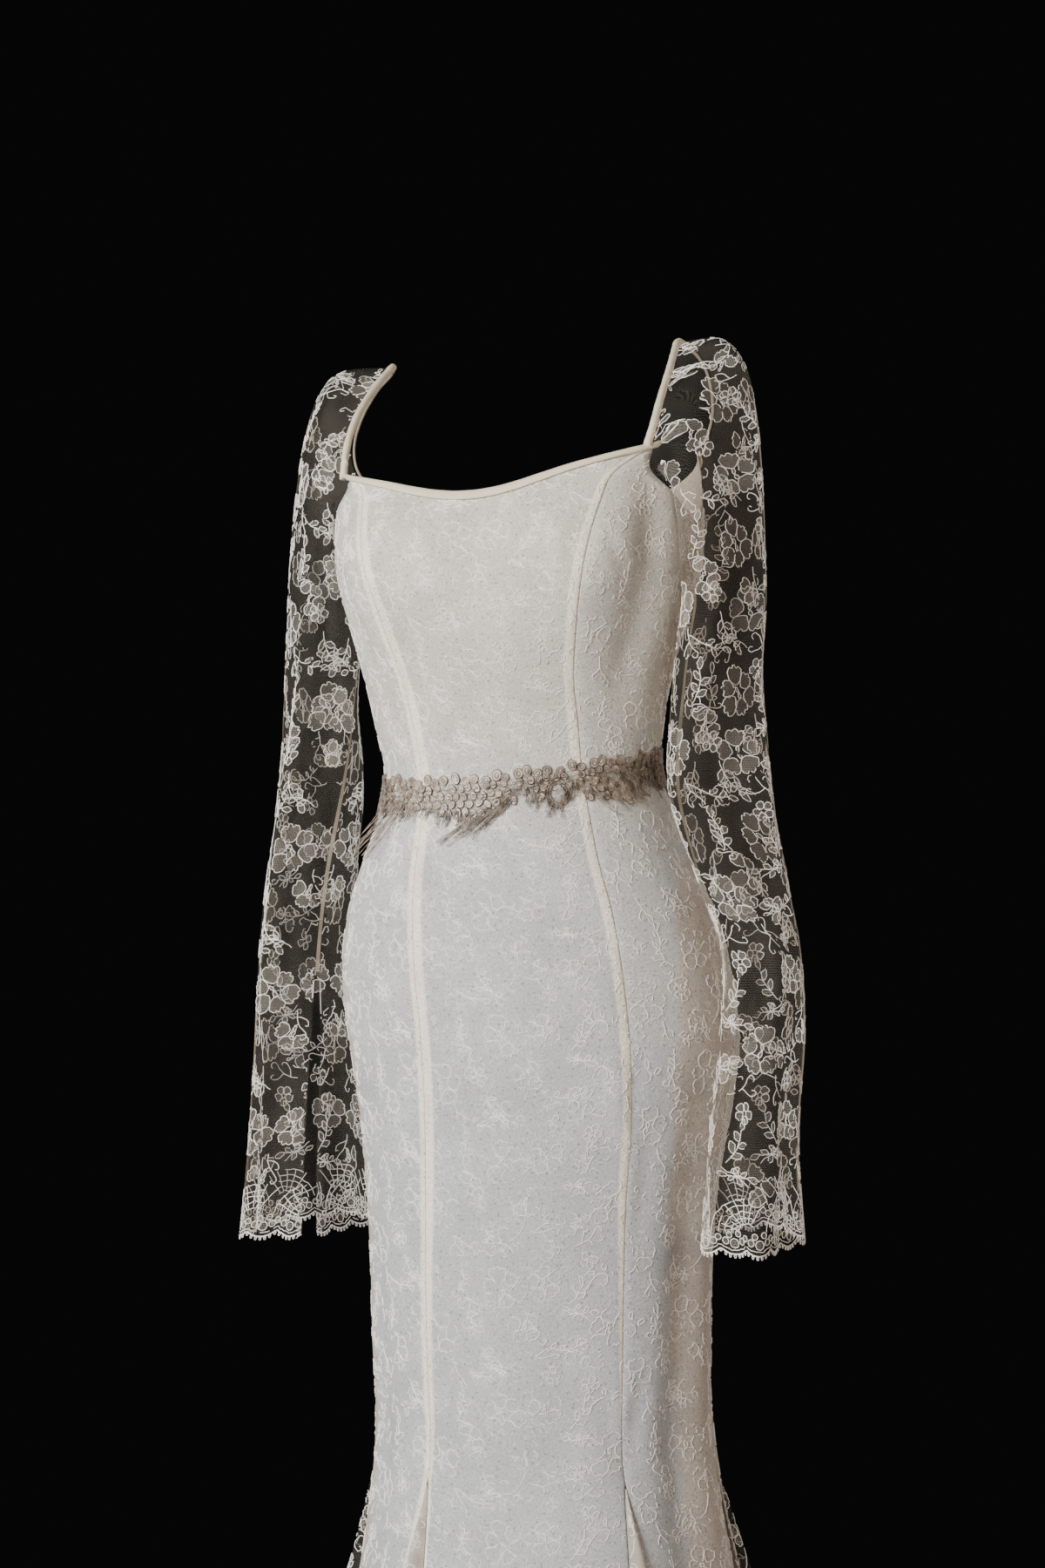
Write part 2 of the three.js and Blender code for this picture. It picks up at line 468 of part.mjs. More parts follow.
// The waist trim: a band of openwork lace with small petals along its top. Three repeats go round the
// waist, each a small swag with a ring in it and a wide swag with a row of eyelets. It is made in a
// front and a back piece that meet at the sides.
const TRIM_TOP = -386;
const TRIM_SLANT = 0.06; // it rises towards the wearer's left, for each mm across
const TRIM_CLOTH = 1.3;
const TRIM_STEP = 3; // degrees between columns
const TRIM_REPEAT = 120;
const RING_START = 12; // where a ring's swag begins, in degrees from the centre front
const RING_SPAN = 33;
const RING_HOLE = [12, 21]; // the opening's edges, in degrees from there
const EYELETS = [45, 57, 69, 81, 93, 105]; // the small openings' edges, likewise
const TRIM_LIFT = 0.5; // clear of the panels

// The trim's heights at an angle, from its top to its foot.
function trimProfile(degrees) {
  const at = (((degrees - RING_START) % TRIM_REPEAT) + TRIM_REPEAT) % TRIM_REPEAT;
  const ring = at < RING_SPAN ? Math.sin((Math.PI * at) / RING_SPAN) : 0;
  const swag = at < RING_SPAN ? 0 : Math.sin((Math.PI * (at - RING_SPAN)) / (TRIM_REPEAT - RING_SPAN));
  const petal = degrees % (3 * TRIM_STEP) === 0 ? 0 : 7;
  return [petal, -5, -12 - 2 * ring, -18 - 8 * ring - 2 * swag, -22 - 20 * ring - 34 * swag];
}
// A point on the panels' flat cells, which lie between their level rows, moved out.
function onPanels(angle, z, out) {
  const i = LEVELS.findIndex((level) => level <= z);
  const share = (LEVELS[i - 1] - z) / (LEVELS[i - 1] - LEVELS[i]);
  return bodyOut(angle, LEVELS[i - 1], out).lerp(bodyOut(angle, LEVELS[i], out), share);
}
function trimWall(from) {
  const steps = Array.from({ length: 180 / TRIM_STEP + 1 }, (_, j) => from + j * TRIM_STEP);
  const short = angleFor(SEAM_GAP / 2, TRIM_TOP);
  const grid = (out) =>
    trimProfile(0).map((_, i) =>
      steps.map((degrees, j) => {
        const angle = deg(degrees) + (j === 0 ? short : 0) - (j === steps.length - 1 ? short : 0);
        const slanted = TRIM_TOP + TRIM_SLANT * 131 * Math.sin(angle);
        return onPanels(angle, slanted + trimProfile(degrees)[i], out);
      }));
  const keep = (i, j) => {
    const at = (((steps[j] - RING_START) % TRIM_REPEAT) + TRIM_REPEAT) % TRIM_REPEAT;
    return !(i === 2 && ((at >= RING_HOLE[0] && at < RING_HOLE[1]) || EYELETS.includes(at)));
  };
  return wall(grid(TRIM_LIFT + TRIM_CLOTH), grid(TRIM_LIFT), { keep });
}
add('waist_trim_front', trimWall(-90), taupeTrim);
add('waist_trim_back', trimWall(90), taupeTrim);

dress.position.y = -SHOULDERS_BACK;
export default dress;
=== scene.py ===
import math

import bpy
import numpy as np
from mathutils import Matrix, Vector


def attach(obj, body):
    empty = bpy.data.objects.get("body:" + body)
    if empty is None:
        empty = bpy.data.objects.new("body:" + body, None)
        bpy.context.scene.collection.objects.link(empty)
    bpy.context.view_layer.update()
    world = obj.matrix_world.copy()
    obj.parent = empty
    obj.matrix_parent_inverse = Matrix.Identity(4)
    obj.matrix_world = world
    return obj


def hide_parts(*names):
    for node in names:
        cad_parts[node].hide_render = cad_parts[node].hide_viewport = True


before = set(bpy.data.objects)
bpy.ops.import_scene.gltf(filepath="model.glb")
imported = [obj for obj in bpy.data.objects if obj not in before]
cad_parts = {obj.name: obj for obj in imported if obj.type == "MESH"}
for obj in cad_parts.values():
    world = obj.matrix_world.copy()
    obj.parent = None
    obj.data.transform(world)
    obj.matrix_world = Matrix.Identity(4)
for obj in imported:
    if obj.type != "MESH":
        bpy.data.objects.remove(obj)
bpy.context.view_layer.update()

# A long fitted wedding dress in its worn shape: crepe under tulle and corded lace, sheer lace sleeves
# and godets, cream bindings and a taupe trim round the waist. Sizes are in mm from the body's
# middle, as a dressmaker's would be, and become metres where a mesh is made.

# The room: the dress stands alone in the dark over a pale round floor and is lit softly from the
# front. The camera is level with the hips, a little to the wearer's left of the front.
BODY_MIDDLE = -0.062  # the body's axis lies this far in front of the shoulders
VIEW_TURN = math.radians(20)
VIEW_DISTANCE = 2.3
VIEW_HEIGHT = -0.4
VIEW_ASIDE = -0.0032
VIEW_LEAN = math.radians(-1.6)
VIEW_LENS = 58.2
FLOOR_LEVEL = -1.456
FLOOR_RADIUS = 1.05
camera_data = bpy.data.cameras.new("camera")
camera_data.lens = VIEW_LENS
camera = bpy.data.objects.new("camera", camera_data)
bpy.context.collection.objects.link(camera)
view_from = Vector((
    VIEW_DISTANCE * math.sin(VIEW_TURN) + VIEW_ASIDE * math.cos(VIEW_TURN),
    BODY_MIDDLE - VIEW_DISTANCE * math.cos(VIEW_TURN) + VIEW_ASIDE * math.sin(VIEW_TURN),
    VIEW_HEIGHT,
))
camera.matrix_world = (
    Matrix.Translation(view_from)
    @ Matrix.Rotation(VIEW_TURN, 4, "Z")
    @ Matrix.Rotation(math.radians(90), 4, "X")
    @ Matrix.Rotation(VIEW_LEAN, 4, "Z")
)
bpy.context.scene.camera = camera


def linear(hex_colour, alpha=1.0):
    """An sRGB hex colour as linear values."""
    shares = [int(hex_colour[i:i + 2], 16) / 255 for i in (0, 2, 4)]
    return (*[c / 12.92 if c <= 0.04045 else ((c + 0.055) / 1.055) ** 2.4 for c in shares], alpha)


def soft_light(name, place, size, power, colour):
    """A square soft light that faces the dress."""
    data = bpy.data.lights.new(name, "AREA")
    data.shape = "SQUARE"
    data.size = size
    data.energy = power
    data.color = linear(colour)[:3]
    light = bpy.data.objects.new(name, data)
    bpy.context.collection.objects.link(light)
    towards = Vector((0, BODY_MIDDLE, -0.6)) - Vector(place)
    light.rotation_euler = towards.to_track_quat("-Z", "Y").to_euler()
    light.location = place


soft_light("window_light", (-1.0, -2.3, 0.45), 1.4, 118, "fffaf2")
soft_light("warm_fill", (1.9, -1.3, -0.1), 1.0, 14, "ffe6cf")
soft_light("low_fill", (-0.4, -1.9, -1.2), 0.8, 7, "e8edff")
soft_light("back_light_left", (1.5, 2.0, 0.4), 1.3, 19, "fff8f0")
soft_light("back_light_right", (-1.7, 1.7, 0.2), 1.3, 22, "f4f6ff")
room = bpy.data.worlds.new("dark_room")
room.use_nodes = True
room.node_tree.nodes["Background"].inputs["Color"].default_value = linear("0b0b0c")
bpy.context.scene.world = room


def new_material(name, settings):
    """A material with its shader, whose own sockets are set."""
    material = bpy.data.materials.new(name)
    material.use_nodes = True
    shader = material.node_tree.nodes["Principled BSDF"]
    for socket, value in settings.items():
        shader.inputs[socket].default_value = value
    return material, shader


bpy.ops.object.select_all(action="DESELECT")
bpy.ops.mesh.primitive_circle_add(
    vertices=96, radius=FLOOR_RADIUS, fill_type="NGON", location=(0, BODY_MIDDLE, FLOOR_LEVEL))
floor = bpy.context.object
floor.name = "floor"
painted_floor, shader = new_material(
    "pale painted floor", {"Base Color": linear("d9d5cf"), "Roughness": 0.7})
floor.data.materials.append(painted_floor)

# The form that the dress is worn on, as level sections from the chest to the hem. The body panels,
# the godets, the bindings and the trim all lie on it, so their shapes are worked out from it.
SECTIONS = np.array([
    (-90, 166, 84, 92, 2.6, 0, 0, 0, 76, 86),
    (-113, 166, 91, 97, 2.6, 1, 0, 0, 67, 80),
    (-134, 167, 97, 101, 2.6, 5, 0, 0, 55, 73),
    (-160, 167, 106, 104, 2.6, 12, 0, 0, 48, 65),
    (-190, 167, 115, 106, 2.6, 17, 0, 0, 42.5, 57),
    (-225, 161, 122, 105, 2.55, 14, 0, 0, 39.5, 49.5),
    (-265, 150, 117, 101, 2.4, 6, -2, 1, 39.5, 43),
    (-310, 139, 105, 95, 2.25, 0, -4, 2.5, 41, 38),
    (-350, 132, 96, 91, 2.15, 0, -4, 4.5, 43, 35.5),
    (-388, 127, 93, 91, 2.1, 0, -3, 6, 43.5, 35),
    (-430, 136, 96, 101, 2.1, 0, -2, 7.5, 43.5, 35),
    (-470, 150, 102, 115, 2.15, 0, -3, 9, 43.5, 36),
    (-510, 165, 108, 127, 2.2, 0, 0, 10, 43.3, 37),
    (-555, 175, 112, 135, 2.2, 0, 3, 11, 42.8, 38),
    (-600, 178, 114, 138, 2.2, 0, 7, 11, 42.5, 38.5),
    (-650, 175, 115, 134, 2.2, 0, 10, 11, 42.3, 39),
    (-700, 168, 116, 128, 2.2, 0, 9, 11, 42, 39),
    (-760, 160, 116, 122, 2.2, 0, 5, 11, 41.7, 39),
    (-830, 155, 116, 119, 2.2, 0, 2, 11, 41.5, 39),
    (-900, 154, 115, 118, 2.2, 0, 0, 11, 41.3, 39),
    (-960, 153, 115, 118, 2.15, 0, 0, 10.5, 41, 39),
    (-1010, 156, 120, 124, 2.1, 0, 0, 10, 41, 40),
    (-1060, 163, 128, 133, 2.05, 0, 0, 10, 42, 42),
    (-1110, 172, 138, 145, 2, 0, 0, 10, 43, 44),
    (-1200, 194, 161, 170, 2, 0, 0, 10, 45, 47),
    (-1310, 221, 189, 202, 2, 0, 0, 10, 47, 49),
    (-1400, 243, 211, 227, 2, 0, 0, 10, 48, 50),
    (-1460, 256, 225, 244, 2, 0, 0, 10, 48, 50),
], dtype=[(name, float) for name in (
    "z", "half", "front", "back", "square", "cup", "shift", "turn", "princess", "back_seam")])

# The creases of the worn cloth: where each one's top and foot are, its angle from the centre front
# there, its half-width and its depth. A ridge has a negative depth. Below them are the faint ripples
# all over, each with its height, its step down the body, its waves round it and its start.
CREASES = [
    (-122, -335, 64, 58, 13, 5),
    (-118, -345, 72, 71, 12, -4),
    (-150, -330, 82, 84, 10, 4.5),
    (-170, -270, 27, 29, 12, 3.5),
    (-130, -330, -60, -53, 12, 4.5),
    (-150, -300, -30, -33, 15, 2.5),
    (-560, -760, 36, 39, 11, -3),
    (-640, -1180, 68, 60, 17, 8),
    (-700, -1160, 78, 76, 14, -4),
    (-720, -1150, -70, -66, 17, 5),
    (-650, -1170, 112, 116, 18, 6),
    (-690, -1160, -114, -118, 18, 6),
    (-150, -340, 118, 122, 13, 4),
    (-150, -330, -116, -121, 13, 4),
    (-190, -262, -46, -36, 7, 1.8),
    (-205, -285, -50, -44, 6, -1.5),
    (-180, -240, 47, 55, 7, 1.6),
    (-600, -655, 34, 41, 6, 1.4),
    (-622, -690, 47, 41, 7, 1.7),
    (-660, -720, 35, 41, 6, -1.4),
    (-560, -640, -47, -41, 7, 1.3),
    (-700, -820, 49, 45, 8, 1.5),
    (-905, -1004, 50, 42, 8, 2.2),
    (-920, -1004, 33, 40, 8, 1.8),
    (-925, -1004, -50, -42, 8, 2),
    (-935, -1004, -33, -40, 7, 1.6),
    (-905, -1004, 98, 91, 9, 2.2),
    (-915, -1004, -98, -91, 9, 2.2),
    (-905, -1004, 132, 141, 9, 2.2),
    (-915, -1004, -132, -141, 9, 2.2),
    (-760, -900, -25, -22, 12, 1.2),
    (-800, -1000, 18, 15, 13, 1.2),
    (-330, -420, -96, -88, 9, 1.8),
    (-320, -420, 98, 92, 9, 2),
    (-350, -430, 150, 141, 9, 1.8),
    (-345, -430, -150, -142, 9, 1.8),
    (-560, -700, 146, 141, 9, 1.8),
    (-560, -710, -148, -142, 9, 1.8),
]
CUP_REACH = 52
GODET_TOP = -1004
HEM = -1450
GODET_HEM_WIDTH = 170
GODET_CHORD = 0.62
GODET_RISE = 0.46
FLUTE_DEPTH = 20
SEAM_GAP = 0.3
RIPPLES = [(0.35, 41, 3, 0), (0.3, 67, -5, 1)]
GROOVE_DEPTH = 0.9
GROOVE_WIDTH = 2.4
SEAMS = ["centre_back_r", "back_r", "side_r", "front_r", "front_l", "side_l", "back_l", "centre_back_l"]


def section(table, name, z):
    """One column of a table of sections at a height, on a smooth curve through its rows."""
    z = np.asarray(z, float)
    heights, values = table["z"], table[name]
    last = len(heights) - 1
    i = np.clip(np.searchsorted(-heights, -z) - 1, 0, last - 1)
    before, after = np.maximum(0, i - 1), np.minimum(last, i + 2)
    step = heights[i + 1] - heights[i]
    t = np.clip((z - heights[i]) / step, 0, 1)
    slope_a = (values[i + 1] - values[before]) / (heights[i + 1] - heights[before]) * step
    slope_b = (values[after] - values[i]) / (heights[after] - heights[i]) * step
    return ((2 * t**3 - 3 * t**2 + 1) * values[i] + (t**3 - 2 * t**2 + t) * slope_a
            + (3 * t**2 - 2 * t**3) * values[i + 1] + (t**3 - t**2) * slope_b)


def seam_angle(seam, z):
    """A seam's angle from the centre front at a height, in radians to the wearer's left."""
    front, back = section(SECTIONS, "princess", z), section(SECTIONS, "back_seam", z)
    level = np.zeros_like(front)
    angles = [level - 180, back - 180, level - 90, -front, front, level + 90, 180 - back, level + 180]
    return np.radians(angles[SEAMS.index(seam)])


def flare_share(z):
    """How far down the flare a height is, from 0 at the godets' points to 1 at the hem."""
    return np.clip((GODET_TOP - np.asarray(z, float)) / (GODET_TOP - HEM), 0, 1)


def girth_angle(length, z):
    """The angle that a length covers round the body."""
    return 2 * length / (section(SECTIONS, "half", z) + section(SECTIONS, "front", z))


def godet_half_angle(z):
    """Half a godet's width at a height, as an angle."""
    return girth_angle(flare_share(z) * GODET_HEM_WIDTH / 2 * GODET_CHORD, z)


def body_point(angle, z):
    """A point of the worn cloth's outer face, at an angle from the centre front and a height."""
    angle, z = np.broadcast_arrays(np.asarray(angle, float), np.asarray(z, float))
    turned = np.arctan2(np.sin(angle), np.cos(angle))
    half, square = section(SECTIONS, "half", z), section(SECTIONS, "square", z)
    depth = np.where(np.cos(turned) > 0, section(SECTIONS, "front", z), section(SECTIONS, "back", z))
    radius = (np.abs(np.sin(turned) / half)**square
              + np.abs(np.cos(turned) / depth)**square) ** (-1 / square)
    princess = np.radians(section(SECTIONS, "princess", z))
    cup = section(SECTIONS, "cup", z) * np.exp(-((np.abs(turned) - princess) * radius / CUP_REACH)**2)
    share = flare_share(z)
    rise, groove = np.zeros_like(radius), np.zeros_like(radius)
    godet = godet_half_angle(z)
    for this, following in zip(SEAMS[:-1], SEAMS[1:]):
        start, end = seam_angle(this, z), seam_angle(following, z)
        inside = (turned >= start) & (turned <= end)
        nearest = np.minimum(turned - start, end - turned)
        across = np.clip(nearest / np.maximum(godet, 1e-9), 0, 1)
        bulge = GODET_RISE * GODET_CHORD * GODET_HEM_WIDTH * share * (1 - across**2)
        wave = FLUTE_DEPTH / 2 * share**1.2 * np.cos(2 * np.pi * (turned - start) / (end - start))
        rise = np.where(inside & (share > 0), bulge + wave, rise)
        from_edge = (nearest - godet) * radius / GROOVE_WIDTH
        groove = np.where(inside, GROOVE_DEPTH * np.exp(-from_edge**2), groove)
    folds = sum(height * np.sin(z / step + round_it * turned + start)
                for height, step, round_it, start in RIPPLES)
    for top, foot, angle_top, angle_foot, reach, depth in CREASES:
        along = np.clip((top - z) / (top - foot), 0, 1)
        middle = np.radians(angle_top + (angle_foot - angle_top) * along)
        away = (turned - middle) * radius / reach
        folds = folds - depth * np.exp(-away**2) * np.sin(np.pi * along)**0.8
    out = radius + cup + rise + folds - groove
    heading = turned + np.radians(section(SECTIONS, "turn", z))
    shift = section(SECTIONS, "shift", z)
    return np.stack([shift + out * np.sin(heading), -out * np.cos(heading), z], axis=-1)


def body_out(angle, z, out):
    """A point moved out from the cloth's outer face."""
    across = body_point(angle + 0.02, z) - body_point(angle - 0.02, z)
    down = body_point(angle, z - 3) - body_point(angle, z + 3)
    normal = np.cross(down, across)
    normal /= np.linalg.norm(normal, axis=-1, keepdims=True)
    return body_point(angle, z) + normal * out


# The seven body panels, cut from white crepe with tulle and corded lace laid over it and sewn in
# with it, full length from the neckline to the hem. Inside the princess seams the cream seam
# allowances show through the crepe.
CREPE_THICKNESS = 1.2
NECK_CENTRE_FRONT = -144
NECK_CENTRE_BACK = -165
NECK_CORNER = -113
NECK_HALF = 143
NECK_SLANT = 0.037
UNDERARM = -173
YOKE_FOOT = -232


def neckline(centre, across, side):
    """The neckline's height: across is 0 at its middle and 1 at the strap's corner."""
    return centre + (NECK_CORNER - centre) * np.abs(across)**2.2 + NECK_SLANT * side * NECK_HALF


def armhole(across, side):
    """The armhole's height: across is 0 under the arm and 1 at the strap's corner."""
    return UNDERARM + (NECK_CORNER + NECK_SLANT * side * NECK_HALF - UNDERARM) * across**1.25


PANELS = {
    "centre_front": ("front_r", "front_l", lambda s: neckline(NECK_CENTRE_FRONT, 2 * s - 1, 2 * s - 1)),
    "side_front_left": ("front_l", "side_l", lambda s: armhole(1 - s, 1)),
    "side_back_left": ("side_l", "back_l", lambda s: armhole(s, 1)),
    "centre_back_left": ("back_l", "centre_back_l", lambda s: neckline(NECK_CENTRE_BACK, 1 - s, 1 - s)),
    "centre_back_right": ("centre_back_r", "back_r", lambda s: neckline(NECK_CENTRE_BACK, s, -s)),
    "side_back_right": ("back_r", "side_r", lambda s: armhole(1 - s, -1)),
    "side_front_right": ("side_r", "front_r", lambda s: armhole(s, -1)),
}


def panel_angle(panel, share, z):
    """The angle of a point of a panel, from 0 at its first seam to 1 at its second."""
    start, end, top = PANELS[panel]
    edge = godet_half_angle(z) + girth_angle(SEAM_GAP / 2, z)
    first, second = seam_angle(start, z) + edge, seam_angle(end, z) - edge
    return first + (second - first) * share


def cut_piece(points, middle, zero_row, spare_rows=0):
    """A grid of points as a piece of cloth, with how far each lies across and down its flat cut.
    Spare rows at the foot belong to no mesh and only carry what hangs past the edge."""
    across = np.zeros(points.shape[:2])
    across[:, 1:] = np.cumsum(np.linalg.norm(np.diff(points, axis=1), axis=2), axis=1)
    across -= across[:, [middle]]
    down = np.zeros(points.shape[:2])
    down[1:] = np.cumsum(np.linalg.norm(np.diff(points, axis=0), axis=2), axis=0)
    down -= down[zero_row]
    normals = np.cross(np.gradient(points, axis=0), np.gradient(points, axis=1))
    normals /= np.maximum(np.linalg.norm(normals, axis=2, keepdims=True), 1e-9)
    return {"points": points, "normals": normals, "across": across, "down": down,
            "rows": len(points) - spare_rows}


def new_piece(name, points, faces, material, uv=None):
    """A smooth mesh from points in mm, placed in the dress's frame in metres."""
    points = np.asarray(points, float).reshape(-1, 3) * 0.001
    points[:, 1] += BODY_MIDDLE
    mesh = bpy.data.meshes.new(name)
    mesh.from_pydata(points.tolist(), [], faces)
    if uv is not None:
        corners = np.zeros(len(mesh.loops), dtype=np.int32)
        mesh.loops.foreach_get("vertex_index", corners)
        layer = mesh.uv_layers.new(name="flat_cut")
        layer.data.foreach_set("uv", (np.asarray(uv, float).reshape(-1, 2)[corners] * 0.001).ravel())
    mesh.polygons.foreach_set("use_smooth", [True] * len(mesh.polygons))
    mesh.materials.append(material)
    mesh.update()
    piece = bpy.data.objects.new(name, mesh)
    bpy.context.collection.objects.link(piece)
    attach(piece, "root")
    return piece


def set_values(piece, name, values):
    """One number for each point of a piece, for its material to read."""
    layer = piece.data.attributes.new(name, "FLOAT", "POINT")
    layer.data.foreach_set("value", np.asarray(values, float).ravel())


def grid_faces(rows, columns):
    """The cells of a grid, as faces that point out."""
    corner = np.arange(rows * columns).reshape(rows, columns)
    cells = [corner[:-1, :-1], corner[1:, :-1], corner[1:, 1:], corner[:-1, 1:]]
    return np.stack(cells, axis=-1).reshape(-1, 4).tolist()


def cloth(name, cut, material, thickness=0):
    """A piece of cloth from its grid, with its flat cut in metres as its UV map."""
    rows, columns = cut["rows"], cut["points"].shape[1]
    flat = np.stack([cut["across"], -cut["down"]], axis=-1)[:rows]
    piece = new_piece(name, cut["points"][:rows], grid_faces(rows, columns), material, flat)
    if thickness:
        wall = piece.modifiers.new("thickness", "SOLIDIFY")
        wall.thickness = thickness * 0.001
        wall.offset = -1
    return piece


def pick(piece):
    """Selects one piece alone, for Blender's operators to act on."""
    bpy.ops.object.select_all(action="DESELECT")
    bpy.context.view_layer.objects.active = piece
    piece.select_set(True)


def apply_modifiers(piece):
    """Makes a piece's modifiers part of its mesh."""
    pick(piece)
    for modifier in list(piece.modifiers):
        bpy.ops.object.modifier_apply(modifier=modifier.name)


def flat_size(cut):
    """A cut's greatest width and length and its area, in metres."""
    rows = cut["rows"]
    across, down = cut["across"][:rows], cut["down"][:rows]
    width = (across[:, -1] - across[:, 0]).max()
    length = (down[-1] - down[0]).max()
    points = cut["points"][:rows]
    one_way, other_way = points[1:, 1:] - points[:-1, :-1], points[1:, :-1] - points[:-1, 1:]
    area = np.linalg.norm(np.cross(one_way, other_way), axis=2).sum() / 2
    return width / 1000, length / 1000, area / 1e6


PANEL_SHARES = np.concatenate([[0, 0.008, 0.02], np.linspace(0.045, 0.955, 29), [0.98, 0.992, 1]])
PANEL_LEVELS = np.concatenate([np.linspace(YOKE_FOOT, GODET_TOP, 90), np.linspace(GODET_TOP, HEM, 52)[1:]])
YOKE_ROWS = 18


def panel_cut(panel):
    """A body panel: the rows above the yoke's foot divide the way down from its own top edge."""
    top = PANELS[panel][2](PANEL_SHARES)
    yoke = top + (YOKE_FOOT - top) * np.linspace(0, 1, YOKE_ROWS + 1)[:-1, None]
    heights = np.concatenate([yoke, np.repeat(PANEL_LEVELS[:, None], len(PANEL_SHARES), axis=1)])
    angles = panel_angle(panel, PANEL_SHARES, heights)
    cut = cut_piece(body_point(angles, heights), len(PANEL_SHARES) // 2, YOKE_ROWS)
    cut["angles"] = angles
    return cut


def feed(shader, links):
    """Links what some nodes give out to a shader."""
    for socket, source in links.items():
        shader.id_data.links.new(source, shader.inputs[socket])


def add_node(material, kind, settings, links=None, out=0):
    """Adds a node to a material and gives what comes out of it. Settings are its options or its
    inputs' values, and links feed its inputs."""
    node = material.node_tree.nodes.new("ShaderNode" + kind)
    for name, value in settings.items():
        if isinstance(name, str) and hasattr(node, name):
            setattr(node, name, value)
        else:
            node.inputs[name].default_value = value
    for name, source in (links or {}).items():
        material.node_tree.links.new(source, node.inputs[name])
    return node.outputs[out]


# Polyester crepe, woven with twisted yarn so that it has a fine pebbled grain and hardly any shine,
# with cotton tulle over it. The real grain is 0.5 mm, drawn at 2 mm so that it shows. The thinnest
# tracery of the lace follows the level lines of a noise, in patches.
crepe, shader = new_material(
    "white crepe under tulle", {"Roughness": 0.82, "Sheen Weight": 0.12, "Specular IOR Level": 0.3})
flat = add_node(crepe, "UVMap", {"uv_map": "flat_cut"})
cool, veil, inside_seam, painted_shade = [
    add_node(crepe, "Attribute", {"attribute_name": name}, out="Fac")
    for name in ("cool", "veil", "inside_seam", "painted_shade")]
patches, clouds, grain, curls = [
    add_node(crepe, "TexNoise", {"Scale": 1 / size, "Detail": detail, "Roughness": rough}, {"Vector": flat})
    for size, detail, rough in ((0.022, 1, 0.5), (0.06, 3, 0.5), (0.002, 2, 0.5), (0.009, 3, 0.6))]
# Small dark specks at the Voronoi points are painted shadows under little thread knots of the lace.
knots = add_node(crepe, "TexVoronoi", {"voronoi_dimensions": "2D", "Scale": 1 / 0.011}, {"Vector": flat})
level = add_node(crepe, "Math", {"operation": "SUBTRACT", 1: 0.5}, {0: curls})
near_level = add_node(crepe, "Math", {"operation": "ABSOLUTE"}, {0: level})
ragged, laced, uneven, pebbled, knot_shadow, allowance, thread = [
    add_node(crepe, "MapRange", {"From Min": a, "From Max": b, "To Min": c, "To Max": d}, {"Value": source})
    for source, a, b, c, d in (
        (patches, 0.3, 0.7, -5, 5), (patches, 0.46, 0.56, 0, 1), (clouds, 0.3, 0.7, 0.88, 1.05),
        (grain, 0.34, 0.66, 0.8, 1.12), (knots, 0.05, 0.13, 0.66, 1), (inside_seam, 8, 10.5, 0.95, 0),
        (near_level, 0.012, 0.05, 1, 0))]
# The beige on the sides is painted shade where they turn from the light, with a ragged edge.
veil_edge = add_node(crepe, "Math", {"operation": "ADD"}, {0: veil, 1: ragged})
veiled = add_node(crepe, "MapRange", {"From Min": -2.0, "From Max": 3.0, "To Max": 0.75},
                  {"Value": veil_edge})
tone = add_node(crepe, "Mix", {"data_type": "RGBA", 6: linear("d3d1c9"), 7: linear("c0c3c7")},
                {0: cool}, 2)
# Painted shade: beige on the sides, darker brown in hollows, under the arms and on the inner wall.
for share, colour in ((veiled, "c6b9ad"), (painted_shade, "ab998a"), (allowance, "fff8e8")):
    tone = add_node(crepe, "Mix", {"data_type": "RGBA", 7: linear(colour)}, {0: share, 6: tone}, 2)
tracery = add_node(crepe, "Math", {"operation": "MULTIPLY"}, {0: thread, 1: laced})
drawn_light = add_node(crepe, "MapRange", {"To Min": 1.0, "To Max": 1.2}, {"Value": tracery})
light = uneven
for share in (knot_shadow, drawn_light, pebbled):
    light = add_node(crepe, "Math", {"operation": "MULTIPLY"}, {0: light, 1: share})
shown = add_node(crepe, "Mix", {"data_type": "RGBA", "blend_type": "MULTIPLY", 0: 1.0},
                 {6: tone, 7: light}, 2)
relief = add_node(crepe, "Math", {"operation": "ADD"}, {0: grain, 1: tracery})
bump = add_node(crepe, "Bump", {"Strength": 0.45, "Distance": 0.0005}, {"Height": relief})
feed(shader, {"Base Color": shown, "Normal": bump})
